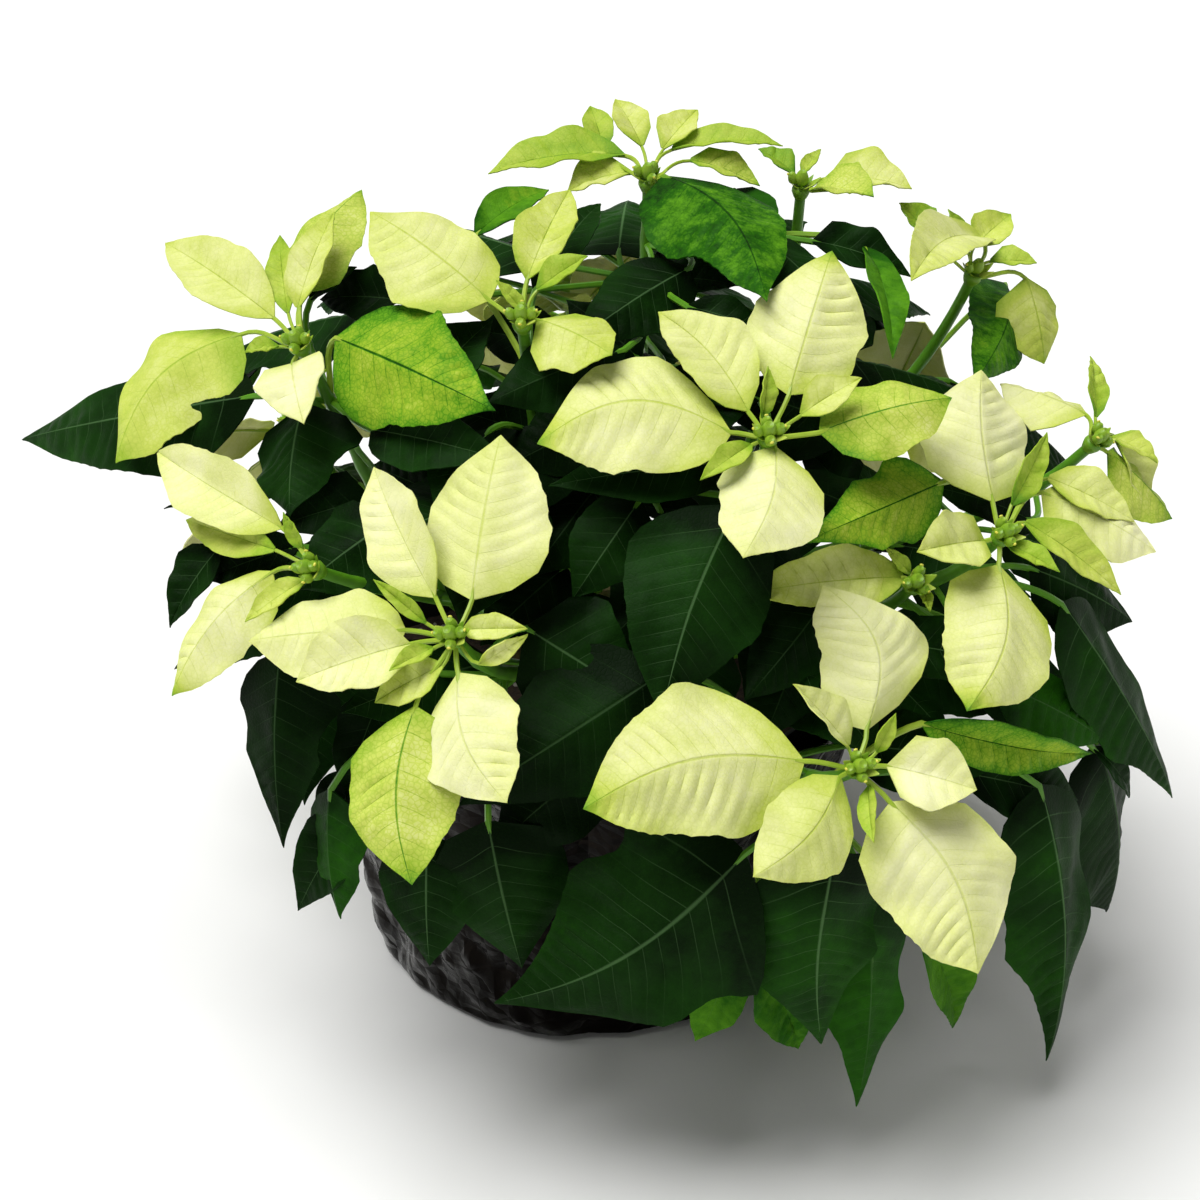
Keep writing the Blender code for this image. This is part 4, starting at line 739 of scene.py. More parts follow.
@dataclass
class Tube:
    """A round stem along a path, with a radius at each point of it."""

    path: Sequence[Place]
    radii: Sequence[float]
    sides: int

    def mesh(self, part: Mesh) -> Mesh:
        """Makes the tube: a circle whose edge is extruded from ring to ring, and closed at both ends.

        Args:
            part: The empty mesh that gets it.

        Returns:
            The same mesh.
        """
        made = bmesh.ops.create_circle(part, cap_ends=False, segments=self.sides, radius=1.0)["verts"]
        made = sorted(made, key=lambda v: math.atan2(v.co.y, v.co.x) % math.tau)
        first = made
        edges = list(part.edges)
        side = None
        for i, place in enumerate(self.path):
            if i:
                grown = bmesh.ops.extrude_edge_only(part, edges=edges)["geom"]
                fresh = {v for v in grown if isinstance(v, bmesh.types.BMVert)}
                edges = [
                    e for e in grown
                    if isinstance(e, bmesh.types.BMEdge) and e.verts[0] in fresh and e.verts[1] in fresh
                ]
                made = [next(e.other_vert(v) for e in v.link_edges if e.other_vert(v) in fresh) for v in made]
            along = unit(self.path[min(i + 1, len(self.path) - 1)] - self.path[max(i - 1, 0)])
            side = beside(along) if side is None else side
            side = unit(side - along * (side @ along))
            rim = ring(place, side, np.cross(along, side), self.radii[i], self.sides)
            for vertex, corner in zip(made, rim):
                vertex.co = corner
        part.faces.new(first)
        part.faces.new(made)
        bmesh.ops.recalc_face_normals(part, faces=part.faces)
        return part


@dataclass
class Blade:
    """A bract or a leaf: its petiole and its blade, on the surface that the solid follows too."""

    root: Place
    base: Place
    tip: Place
    half: float
    facing: Place
    outline: Outline
    fold: float
    arch: float
    tint: Tint
    flutter: float
    quilt: float
    stalk: float
    roll: float = 0.0
    wave: float = 0.0
    lean: float = 0.0
    thickness: float = 0.45
    arching: float = 0.48

    # What the solids have: thickness, the petiole's half sizes and how flat it is, with and without a ridge
    SOLID_THICKNESS = 0.9
    SOLID_STALK = (1.15, 1.0)
    STALK_FLATNESS = (0.45, 0.8)
    FIRST_STATION = 4.5
    RIDGED_WIDTH = 42.0
    CONVEX_WIDTH = 26.0
    # Ripples along the blade, and how far those of one side run ahead of the other's
    RIPPLES = (2.1, 0.12)
    # Side veins: their distance, how they crowd to the base, how far they sweep on, and grid rows for each
    VEIN_SPACING = 5.4
    VEIN_CROWDING = 0.85
    VEIN_SWEEP = 0.52
    STRAIGHT_FOOT = 0.12
    ROWS_PER_VEIN = 4
    COLUMN_WIDTH = 1.9
    SETTLING_ROUNDS = 12
    # Uneven edges: size, fewest and most waves, and the scallops between side veins
    UNEVEN_EDGES = ((0.065, 1.3, 2.1), (0.018, 4.0, 6.0))
    SCALLOPS = 0.02
    # Fold beyond the solid's, in degrees, flutters along the blade, and how far one side may rise
    EXTRA_FOLD = 10.0
    FLUTTERS = 2.6
    SKEW = 0.08
    # Quilting between side veins: least and most, how uneven it is, and its waves along and across
    QUILTING = (0.5, 2.0)
    QUILT_UNEVENNESS = 0.45
    QUILT_WAVES = (1.7, 0.5)
    # Puckers: how many waves, their spans, and their height for a span of so many millimetres
    PUCKERS = 6
    PUCKER_SPANS = (9.0, 24.0)
    PUCKER_HEIGHT = 0.17
    PUCKER_SPAN = 15.0
    # Petiole: its curve's inner controls, how deep it joins the blade, and what length counts as long
    PETIOLE_CURVE = (0.4, 0.36)
    JOIN_DEPTH = 0.3
    LONG_PETIOLE = 14.0
    # The ridge under the midrib: where it ends, its first part of the petiole's radius, and its least radius
    RIDGE_END = 0.88
    RIDGE_PART = 0.65
    RIDGE_LEAST = 0.12
    # Chlorophyll of a petiole: how much less than its blade's, the least and the most
    PETIOLE_TONES = (0.15, 0.36, 0.55)

    def __post_init__(self) -> None:
        """Works out the blade's own axes."""
        self.length = apart(self.base, self.tip)
        self.axis = unit(self.tip - self.base)
        self.normal = rolled(self.axis, self.facing, self.roll)
        self.across = np.cross(self.normal, self.axis)
        self.inward = unit(self.base - self.root)
        self.pairs = min(max(round(self.length / self.VEIN_SPACING), 4), 16)
        self.hang = -1.0 if 2 * self.half > self.CONVEX_WIDTH else 1.0

    def midrib_rise(self, t: Place) -> Place:
        """How far the midrib arches up at part t of the length."""
        return self.arch * self.length * 4 * t * (1 - t)

    def sway(self, t: Place) -> Place:
        """How far the midrib swings to the side at part t of the length."""
        return self.half * self.lean * np.sin(np.pi * t)

    def ripple(self, t: Place, s: Place) -> Place:
        """The ripples' lift at part t of the length and part s of the half width, as a part of the latter."""
        return self.wave * s * s * np.sin(math.tau * (self.RIPPLES[0] * t + self.RIPPLES[1] * s))

    def solid_corners(self) -> list[Place]:
        """The corners that the blade's solid has.

        Returns:
            Its corners from the tip, which comes first, to the petiole's end.
        """
        half = self.normal * (self.SOLID_THICKNESS / 2)
        found = [self.tip + half, self.tip - half]
        ridged = 2 * self.half > self.RIDGED_WIDTH and self.outline is not Outline.SHADED
        fold = math.radians(self.fold) * self.hang
        for part, width in self.outline.value[0]:
            t = max(part, self.FIRST_STATION / self.length) if part < 0.2 else part
            reach = self.half * width
            for s in (-1.0, 0.0, 1.0) if ridged else (-1.0, 1.0):
                lift = self.midrib_rise(t) + reach * (abs(s) * math.sin(fold) + self.ripple(t, s))
                sideways = reach * s * math.cos(fold) + self.sway(t)
                middle = self.base + self.axis * (self.length * t)
                middle = middle + self.normal * lift + self.across * sideways
                found += [middle + half, middle - half]
        onward = self.axis * (0.1 * self.length) + self.normal * self.midrib_rise(0.1)
        along = unit(self.inward + unit(onward + self.across * self.sway(0.1)))
        across = self.across - along * (self.across @ along)
        if np.linalg.norm(across) < 0.2:
            across = self.normal - along * (self.normal @ along)
        across = unit(across)
        wide, tall = self.SOLID_STALK
        high = np.cross(along, across) * (tall * self.STALK_FLATNESS[0 if ridged else 1])
        for s in (-1.0, 1.0):
            middle = self.base + across * (s * wide)
            found += [middle + high, middle - high]
        return found

    def sheet(self, rows: int, columns: int) -> tuple[Place, Place]:
        """The middle of the blade as a grid whose rows run along the side veins.

        Args:
            rows: Rows from base to tip.
            columns: Columns from side to side.

        Returns:
            The points, and the unit normals there.
        """
        chance = random.Random(round(abs(self.tip[0]) * 91 + abs(self.tip[2]) * 37))
        row = np.linspace(0.0, 1.0, rows + 1)[:, None]
        s = np.linspace(-1.0, 1.0, columns + 1)[None, :]
        v = row**self.VEIN_CROWDING
        curve = (1.1 - self.arching) * np.abs(s) + self.arching * s * s
        sweep = self.half / self.length * self.VEIN_SWEEP * np.minimum(v / self.STRAIGHT_FOOT, 1.0) * curve
        t = v + 0 * s
        for _ in range(self.SETTLING_ROUNDS):
            t = np.clip(v + sweep * self.outline.width(t), 0.0, 1.0)
        fuller = np.sin(np.pi * t)
        between = np.abs(np.sin(np.pi * row * self.pairs))
        reach = self.half * self.outline.width(t)
        for side in (-1, 1):
            uneven = 1.0
            for size, fewest, most in self.UNEVEN_EDGES:
                waves = chance.uniform(fewest, most) * t + chance.random()
                uneven = uneven + size * np.sin(math.tau * waves) * fuller
            reach = np.where(np.sign(s) == side, reach * uneven, reach)
        reach = reach * (1 + self.SCALLOPS * (0.5 - between) * s**4 * np.sin(np.pi * v))

        fold = math.radians(self.fold + self.EXTRA_FOLD) * self.hang
        lift = self.midrib_rise(t) + reach * (1.1 * np.abs(s) - 0.1 * s * s) * math.sin(fold)
        lift = lift + reach * self.ripple(t, s)
        shift = np.where(s < 0, chance.random(), chance.random())
        lift = lift + self.flutter * reach * s * s * np.sin(math.tau * (self.FLUTTERS * t + shift))
        lift = lift + chance.uniform(-self.SKEW, self.SKEW) * reach * s * fuller
        inside = np.clip(np.abs(s) * 5, 0, 1) * np.clip((1 - np.abs(s)) * 3.5, 0.25, 1)
        inside = inside * np.sin(np.pi * v) ** 0.5
        deeper = np.where(s < 0, chance.uniform(*self.QUILTING), chance.uniform(*self.QUILTING))
        waves = self.QUILT_WAVES[0] * t + self.QUILT_WAVES[1] * s + chance.random()
        deeper = deeper * (1 + self.QUILT_UNEVENNESS * np.sin(math.tau * waves))
        lift = lift + self.quilt * deeper * (between - 0.5) * inside
        for _ in range(self.PUCKERS):
            course, phase = chance.uniform(0, math.tau), chance.uniform(0, math.tau)
            span = chance.uniform(*self.PUCKER_SPANS)
            place = (t * self.length * math.cos(course) + reach * s * math.sin(course)) / span
            height = self.PUCKER_HEIGHT * span / self.PUCKER_SPAN
            lift = lift + height * np.sin(math.tau * place + phase) * inside

        sideways = reach * s * math.cos(fold) + self.sway(t)
        points = self.base + self.axis * (self.length * t)[..., None]
        points = points + self.normal * lift[..., None] + self.across * sideways[..., None]
        normals = np.cross(np.gradient(points, axis=0), np.gradient(points, axis=1)) + self.normal * 1e-4
        return points, normals / np.linalg.norm(normals, axis=2, keepdims=True)

    def add_to(self, body: Body) -> None:
        """Adds the blade, then its petiole and the midrib that it runs on as, to a body.

        Args:
            body: The object in the making, whose slots are upper side, underside and stalk.
        """
        rows = self.ROWS_PER_VEIN * self.pairs
        columns = 2 * min(max(round(self.half / self.COLUMN_WIDTH), 3), 13)
        points, normals = self.sheet(rows, columns)
        part = body.part()
        bmesh.ops.create_grid(part, x_segments=rows, y_segments=columns, size=0.5)
        extruded = bmesh.ops.extrude_face_region(part, geom=part.faces)["geom"]
        raised = [v for v in extruded if isinstance(v, bmesh.types.BMVert)]
        bmesh.ops.translate(part, vec=(0.0, 0.0, 1.0), verts=raised)
        cells = {
            v: (round((v.co.x + 0.5) * rows), round((v.co.y + 0.5) * columns), v.co.z > 0.5)
            for v in part.verts
        }
        uv = part.loops.layers.uv["blade"]
        for face in part.faces:
            face.material_index = 0 if any(cells[v][2] for v in face.verts) else 1
            for loop in face.loops:
                i, j, _ = cells[loop.vert]
                loop[uv].uv = (j / columns, i / rows)
        layers = [part.verts.layers.float[look] for look in LOOKS]
        values = (*self.tint.value, float(self.pairs))
        for vertex, (i, j, upper) in cells.items():
            vertex.co = points[i, j] + normals[i, j] * (self.thickness / 2 * (1 if upper else -1))
            for layer, value in zip(layers, values):
                vertex[layer] = value
        bmesh.ops.remove_doubles(part, verts=part.verts, dist=1e-3)
        bmesh.ops.recalc_face_normals(part, faces=part.faces)
        body.take(part)

        centre = columns // 2
        reach = apart(self.root, self.base)
        curve = (
            self.root,
            self.root + self.inward * (self.PETIOLE_CURVE[0] * reach),
            self.base - unit(self.axis + self.inward) * (self.PETIOLE_CURVE[1] * reach),
            self.base - normals[0, centre] * self.JOIN_DEPTH,
        )
        steps = 8 if reach > self.LONG_PETIOLE else 4
        path = [bezier(curve, k / steps) for k in range(steps + 1)]
        radii = [self.stalk] * len(path)
        for i in range(2, int(self.RIDGE_END * rows), 3):
            thin = self.stalk * (1 - i / rows) * self.RIDGE_PART + self.RIDGE_LEAST
            path.append(points[i, centre] - normals[i, centre] * (0.8 * thin))
            radii.append(thin)
        less, least, most = self.PETIOLE_TONES
        tone = max(least, min(self.tint.value[0] - less, most))
        body.take(Tube(path, radii, 6).mesh(body.part()), 2, tone)


@dataclass
class Branch:
    """One branch from a cutting to the hub of its bloom."""

    name: str
    trunk: Place
    height: float
    hub: Place
    axis: Place
    bend: float

    # How far from a cutting's axis a branch starts: up to 1 mm less between two heights
    START_RADIUS = 5.5
    TAPER_HEIGHTS = (116.0, 158.0)
    HUB_DEPTH = 2.6
    # Radii of the branch's solid at the cutting and at the hub, its sides and its steps
    SOLID_RADII = (2.7, 2.0)
    SOLID_SIDES = 5
    SOLID_STEPS = 5

    def __post_init__(self) -> None:
        """Works out the curve that the branch follows."""
        self.node = "leafy_stem_" + self.name
        self.outward = unit((self.hub - self.trunk) * np.array((1.0, 1.0, 0.0)))
        side = np.cross(UP, self.outward)
        low, high = self.TAPER_HEIGHTS
        taper = min(max((self.height - low) / (high - low), 0.0), 1.0)
        start = np.array((self.trunk[0], self.trunk[1], self.height))
        start = start + self.outward * (self.START_RADIUS - taper)
        end = self.hub - self.axis * self.HUB_DEPTH
        reach = apart(start, end)
        rise = unit(self.outward + UP * 0.75)
        near = start + rise * (0.38 * reach) + side * self.bend
        self.controls = (start, near, end - self.axis * (0.42 * reach), end)

    def at(self, t: float) -> Place:
        """Point of the branch at part t of its way to the hub."""
        return bezier(self.controls, t)

    def solid_corners(self) -> list[Place]:
        """The corners of the branch's solid at its third station.

        Returns:
            The corners.
        """
        path = [self.at(i / self.SOLID_STEPS) for i in range(self.SOLID_STEPS + 1)]
        side = beside(self.outward)
        for i in range(3):
            along = self.outward if i == 0 else unit(path[i + 1] - path[i - 1])
            side = unit(side - along * (side @ along))
        first, last = self.SOLID_RADII
        radius = first + (last - first) * 2 / self.SOLID_STEPS
        return ring(path[2], side, np.cross(along, side), radius, self.SOLID_SIDES)


@dataclass
class Solids:
    """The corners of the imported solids, which tell what place each blade was given."""

    nodes: dict[str, bpy.types.Object]
    within: float = 0.03
    least: float = 0.5
    trees: dict[str, KDTree] = field(default_factory=dict)

    def share(self, node: str, points: Sequence[Place]) -> float:
        """How much of a list of points a node's solid has as corners.

        Args:
            node: The node's name.
            points: Places in millimetres.

        Returns:
            The share, from zero to one.
        """
        if node not in self.trees:
            mesh = self.nodes[node].data
            tree = KDTree(len(mesh.vertices))
            for vertex in mesh.vertices:
                tree.insert(vertex.co / MM, vertex.index)
            tree.balance()
            self.trees[node] = tree
        found = [self.trees[node].find(Vector(p))[2] < self.within for p in points]
        return sum(found) / len(found)

    def holds(self, node: str, points: Sequence[Place]) -> bool:
        """Whether all of a list of points lie inside the box of a node's solid.

        Args:
            node: The node's name.
            points: Places in millimetres.

        Returns:
            True where they all do.
        """
        corners = np.array([vertex.co / MM for vertex in self.nodes[node].data.vertices])
        inside = (np.array(points) > corners.min(axis=0)) & (np.array(points) < corners.max(axis=0))
        return bool(inside.all())

    def chosen(self, choices: Iterator[tuple[str, Blade]]) -> tuple[str, Blade] | None:
        """The choice whose corners its node's solid has.

        Args:
            choices: Pairs of a node's name and a blade.

        Returns:
            The pair that fits best, or None where the solids have none of them.
        """
        best, most = None, self.least
        for node, blade in choices:
            corners = blade.solid_corners()
            if not self.share(node, corners[:2]):
                continue
            share = self.share(node, corners)
            if share > most:
                best, most = (node, blade), share
            if share == 1:
                break
        return best


@dataclass
class Layout:
    """Places every branch and blade as the solids have them."""

    solids: Solids
    small_width: float = 19.0
    stems_tried: int = 6
    seed: int = 24
    branches: list[Branch] = field(default_factory=list)
    hubs: dict[str, tuple[Place, Place, int]] = field(default_factory=dict)
    blades: dict[str, list[Blade]] = field(default_factory=dict)

    # How bracts, leaves that are seen, and shaded leaves flutter and quilt
    BRACT_RELIEF = {"flutter": 0.08, "quilt": 0.46}
    LEAF_RELIEF = {"flutter": 0.04, "quilt": 0.4, "stalk": 1.1, "wave": 0.10, "arching": 0.12}
    SHADED_RELIEF = {"flutter": 0.06, "quilt": 0.4, "stalk": 1.1}
    LEAF_ARCH = 0.07
    # A bloom's heart stands above its hub, and the hubs at the back lie inside the dome
    HEART_HEIGHT = 5.0
    BACK_HUB = 0.86
    BACK_NOD = 24.0
    BACK_PETIOLE = 13.0
    # Bracts at the back: half width and least length of a broad one, tilts in turn, and the two inside
    BACK_HALF = 0.31
    BROAD_LENGTH = 40.0
    BACK_TILTS = (-10.0, 6.0)
    INNER_PART = 0.42
    INNER_TILT = 38.0
    # Heights on a cutting where its branches spring, and the side bends tried for each
    FIRST_BRANCH = 112.0
    BRANCH_SPACING = 8.0
    BENDS = (0, 10, -10, 20, -20, 32, -32)
    # Where a petiole may spring, and the length and the place on the branch that it likes best
    PETIOLE_PARTS = (0.3, 0.4, 0.5, 0.6, 0.7, 0.8, 0.88)
    USUAL_PETIOLE = 26.0
    BEST_PART = 0.65
    SHARPEST_TURN = 1.1
    # What counts against a place: a petiole that hangs past a free drop, a part off the best, and a turn
    FREE_DROP = 6.0
    HANGING_COST = 0.6
    PART_COST = 10.0
    TURN_COST = 8.0
    # Pairs of what a bract's tip and its base are moved by along the hub's axis
    BRACT_SHIFTS = (
        (0, -0.6), (-4, -0.6), (4, -0.6), (-4, -1.6), (-8, -1.2), (8, -0.6), (-12, -1.6), (12, -0.6),
        (-17, -2.0), (17, 0.0), (-23, -2.5), (23, 0.0), (-30, -3.0), (30, 0.5), (-38, -3.5), (-12, -4.0),
        (-20, -5.0), (-6, -3.5),
    )
    # Turns and pitches tried for a bract at the back
    BACK_TURNS = (
        (0, 0), (0, 10), (0, -10), (10, 0), (-10, 0), (0, 20), (0, -20), (15, 12), (-15, 12), (0, -32),
        (25, -10), (-25, -10), (40, -15), (-40, -15), (60, 0), (-60, 0),
    )
    # Rows of leaves over the back: elevation, first azimuth, step and count
    BACK_ROWS = ((66.0, 35.0, 52.0, 3), (46.0, 8.0, 32.0, 6), (27.0, 12.0, 37.0, 5))
    BACK_LEAF_HALF = 24.0
    BACK_LEAF_REACH = 13.5
    # Parts of the dome's radii at which the base and the tip of such a leaf lie
    BACK_LEAF_ENDS = (0.80, 0.93)
    # Shaded leaves: their parts of the branch, turns, pitches, lengths and petioles, and their half width
    SHADED_STRETCH = (0.42, 0.45)
    SHADED_FAN = 60.0
    SHADED_TURNS = (-20.0, 20.0)
    SHADED_PITCHES = (-25.0, 5.0)
    SHADED_LENGTHS = (62.0, 88.0)
    SHADED_PETIOLES = (24.0, 42.0)
    SHADED_HALF = 0.3
    # How far leaves on the near side lean to the viewer, against how much they look up
    TOWARD_VIEW = 45.0
    UPWARD = 75.0

    def place_all(self) -> None:
        """Places hubs and branches, then bracts, then leaves."""
        self.place_branches()
        for bloom in BLOOMS:
            for bract in bloom.bracts:
                self.keep(self.bract_choices(bloom.name, bract), f"bract {bloom.name} {bract.tip}")
        for bloom in BACK_BLOOMS:
            for k in range(bloom.count + 2):
                self.keep(self.back_bract_choices(bloom, k), f"bract {bloom.name} {k}")
        for leaf in LEAVES:
            self.keep(self.leaf_choices(leaf), f"leaf {leaf.tip}")
        for leaf in DEEP_LEAVES:
            for node, blade in self.leaf_choices(leaf):
                if self.solids.holds(node, blade.solid_corners()):
                    self.blades.setdefault(node, []).append(blade)
                    break
            else:
                LOG.warning("no room for deep leaf %s", leaf.tip)
        for elevation, first, step, count in self.BACK_ROWS:
            for k in range(count):
                self.keep(self.back_leaf_choices(first + step * k, elevation), f"back leaf {k}")
        draw = random.Random(self.seed)
        for branch in self.branches:
            count = 3 if branch.name.startswith("back") else 2
            for k in range(count):
                self.keep(self.shaded_leaf_choices(branch, k, count, draw), f"shaded leaf {branch.name} {k}")

    def keep(self, choices: Iterator[tuple[str, Blade]], label: str) -> None:
        """Keeps the choice that the solids have.

        Args:
            choices: Pairs of a node's name and a blade.
            label: What the log calls the blade where none of them fits.
        """
        found = self.solids.chosen(choices)
        if found is None:
            LOG.warning("no solid for %s", label)
        else:
            self.blades.setdefault(found[0], []).append(found[1])

    def place_branches(self) -> None:
        """Places the hub of each bloom, and the branch that carries it from the nearest cutting."""
        for bloom in BLOOMS:
            axis = direction(bloom.azimuth, bloom.elevation)
            heart = VIEW.at_depth(bloom.heart, bloom.deep)
            self.hubs[bloom.name] = (heart - axis * self.HEART_HEIGHT, axis, bloom.buds)
        for bloom in BACK_BLOOMS:
            hub = VIEW.centre + direction(bloom.azimuth, bloom.elevation) * VIEW.radii * self.BACK_HUB
            self.hubs[bloom.name] = (hub, direction(bloom.azimuth, bloom.elevation + self.BACK_NOD), 4)
        trunks = Cuttings().places()
        shared: dict[int, list[tuple[float, str]]] = {k: [] for k in range(len(trunks))}
        for name, (hub, _, _) in self.hubs.items():
            flat = [apart(place[:2], hub[:2]) for place in trunks]
            shared[flat.index(min(flat))].append((hub[2] - 0.6 * min(flat), name))
        for k, members in shared.items():
            for rank, (_, name) in enumerate(sorted(members)):
                hub, axis, _ = self.hubs[name]
                height = self.FIRST_BRANCH + self.BRANCH_SPACING * rank
                tried = [Branch(name, trunks[k], height, hub, axis, bend) for bend in self.BENDS]
                self.branches.append(max(tried, key=lambda b: self.solids.share(b.node, b.solid_corners())))

    def bract_choices(self, name: str, bract: Bract) -> Iterator[tuple[str, Blade]]:
        """A bract as seen, then with its tip nearer or farther on the same sight line.

        Args:
            name: The bloom's name.
            bract: The bract.

        Yields:
            The node's name and the blade.
        """
        hub, axis, _ = self.hubs[name]
        for shift, sink in self.BRACT_SHIFTS:
            base = VIEW.on_plane(bract.base, hub, axis, sink)
            tip = VIEW.on_plane(bract.tip, hub, axis, bract.rise + shift)
            half = VIEW.half_width(bract.width, base, tip, axis, bract.roll)
            outline, stalk = (Outline.SMALL, 0.6) if 2 * half <= self.small_width else (Outline.BRACT, 0.8)
            yield "bracts_" + name, Blade(
                hub + unit(base - hub) * 1.08, base, tip, half, axis, outline, bract.fold, bract.arch,
                bract.tint, roll=bract.roll, lean=bract.lean, stalk=stalk, thickness=0.4, **self.BRACT_RELIEF,
            )

    def back_bract_choices(self, bloom: BackBloom, k: int) -> Iterator[tuple[str, Blade]]:
        """A bract round the hub of a bloom at the back, then with other tilts and turns.

        Args:
            bloom: The bloom.
            k: The bract's number, past the bloom's count for the two small ones inside.

        Yields:
            The node's name and the blade.
        """
        hub, axis, _ = self.hubs[bloom.name]
        inner = k >= bloom.count
        angle = bloom.turn + (360.0 / bloom.count * k if not inner else 160.0 * k + 25.0)
        length = bloom.length * (self.INNER_PART if inner else 0.88 + 0.12 * (k % 3))
        tilt = self.INNER_TILT if inner else self.BACK_TILTS[k % 2]
        side = unit(np.cross(axis, UP))
        other = np.cross(axis, side)
        for turn, pitch in self.BACK_TURNS:
            a, e = math.radians(angle + turn), math.radians(tilt + pitch)
            along = (side * math.cos(a) + other * math.sin(a)) * math.cos(e) + axis * math.sin(e)
            base = hub + along * self.BACK_PETIOLE
            yield "bracts_" + bloom.name, Blade(
                hub + along, base, base + along * length, self.BACK_HALF * length, axis,
                Outline.BRACT if length > self.BROAD_LENGTH else Outline.SMALL, 10.0, 0.07,
                Tint.LIME if inner else BACK_TINTS[k % len(BACK_TINTS)], stalk=0.8, **self.BRACT_RELIEF,
            )

    def petiole_places(self, base: Place, axis: Place) -> list[tuple[Branch, float]]:
        """Places on the branches that a leaf's petiole could spring from.

        Args:
            base: Where the leaf's blade starts.
            axis: Unit vector along its midrib.

        Returns:
            Pairs of a branch and a part of its way to the hub, the best first.
        """
        found = []
        for branch in self.branches:
            for t in self.PETIOLE_PARTS:
                place = branch.at(t)
                above = max(0.0, float(place[2] - base[2]) - self.FREE_DROP)
                turn = 1.0 - float(unit(base - place) @ axis)
                if turn < self.SHARPEST_TURN:
                    cost = abs(apart(place, base) - self.USUAL_PETIOLE) + self.HANGING_COST * above
                    cost += self.PART_COST * abs(t - self.BEST_PART) + self.TURN_COST * turn
                    found.append((cost, branch, t))
        found.sort(key=lambda entry: entry[0])
        return [(branch, t) for _, branch, t in found[: self.stems_tried]]

    def leaf_choices(self, leaf: Leaf) -> Iterator[tuple[str, Blade]]:
        """A leaf as seen, then nearer or farther on the same sight lines and on other branches.

        Args:
            leaf: The leaf.

        Yields:
            The node's name and the blade.
        """
        tries = product((0.0, 25.0, -25.0), (0, 6, -6, 12, -12, 18, 26, -20, 35, 45), (0, 10, -10, 20))
        for turn, shift, tip_shift in tries:
            base = VIEW.at_depth(leaf.base, leaf.deep[0] + shift)
            tip = VIEW.at_depth(leaf.tip, leaf.deep[1] + shift + tip_shift)
            facing = self.upward(base, self.TOWARD_VIEW)
            half = VIEW.half_width(leaf.width, base, tip, facing, leaf.roll + turn)
            outline = Outline.LOBED if leaf.lobed else Outline.LEAF
            if 2 * half <= self.small_width:
                outline = Outline.SMALL
            for branch, t in self.petiole_places(base, unit(tip - base)):
                yield branch.node, Blade(
                    branch.at(t), base, tip, half, facing, outline, leaf.fold, self.LEAF_ARCH, leaf.tint,
                    roll=leaf.roll + turn, lean=leaf.lean, thickness=0.5, **self.LEAF_RELIEF,
                )

    def upward(self, base: Place, toward: float) -> Place:
        """Where a leaf looks: up, a little away from the plant's heart, and so far toward the front."""
        out = base - VIEW.centre
        return unit(np.array((out[0] * 0.5, out[1] * 0.5 - toward, self.UPWARD)))

    def back_leaf_choices(self, azimuth: float, elevation: float) -> Iterator[tuple[str, Blade]]:
        """A leaf that lies over the back of the dome, then at places round about.

        Args:
            azimuth: Direction of its middle from the dome's centre, in degrees.
            elevation: The same upward.

        Yields:
            The node's name and the blade.
        """
        tint = Tint.VEINED if int(azimuth) % 2 else Tint.DARK
        for turn, sink in product((0, 8, -8, 16, -16, 24, -24), (0.0, 0.07, -0.05, 0.14, 0.21)):
            high = direction(azimuth + turn, elevation + self.BACK_LEAF_REACH)
            low = direction(azimuth + turn, elevation - self.BACK_LEAF_REACH)
            base = VIEW.centre + high * VIEW.radii * (self.BACK_LEAF_ENDS[0] - sink)
            tip = VIEW.centre + low * VIEW.radii * (self.BACK_LEAF_ENDS[1] - sink)
            for branch, t in self.petiole_places(base, unit(tip - base)):
                yield branch.node, Blade(
                    branch.at(t), base, tip, self.BACK_LEAF_HALF, unit(base - VIEW.centre), Outline.LEAF,
                    10.0, self.LEAF_ARCH, tint, **self.LEAF_RELIEF,
                )

    def shaded_leaf_choices(
        self, branch: Branch, k: int, count: int, draw: random.Random
    ) -> Iterator[tuple[str, Blade]]:
        """A shaded leaf low on its branch, then with other turns, pitches and sizes.

        Args:
            branch: The branch.
            k: The leaf's number on it.
            count: How many such leaves the branch has.
            draw: The seeded draw that all of them share.

        Yields:
            The node's name and the blade.
        """
        heading = math.degrees(math.atan2(branch.outward[1], branch.outward[0]))
        azimuth = heading + (k - (count - 1) / 2) * self.SHADED_FAN + draw.uniform(*self.SHADED_TURNS)
        pitch = draw.uniform(*self.SHADED_PITCHES)
        length = draw.uniform(*self.SHADED_LENGTHS)
        petiole = draw.uniform(*self.SHADED_PETIOLES)
        start = branch.at(self.SHADED_STRETCH[0] + self.SHADED_STRETCH[1] * k / count)
        turns = (0, 18, -18, 36, -36, 60, -60, 90, -90, 130, -130)
        for turn, drop, size in product(turns, (0, -14, 14, -28, 26), (1.0, 0.75)):
            base = start + direction(azimuth + turn, pitch + drop + 22.0) * petiole * size
            tip = base + direction(azimuth + turn, pitch + drop) * length * size
            facing = self.upward(base, self.TOWARD_VIEW if base[1] <= VIEW.centre[1] else 0.0)
            yield branch.node, Blade(
                start, base, tip, self.SHADED_HALF * length * size, facing, Outline.SHADED, 10.0,
                self.LEAF_ARCH, Tint.DARK, **self.SHADED_RELIEF,
            )


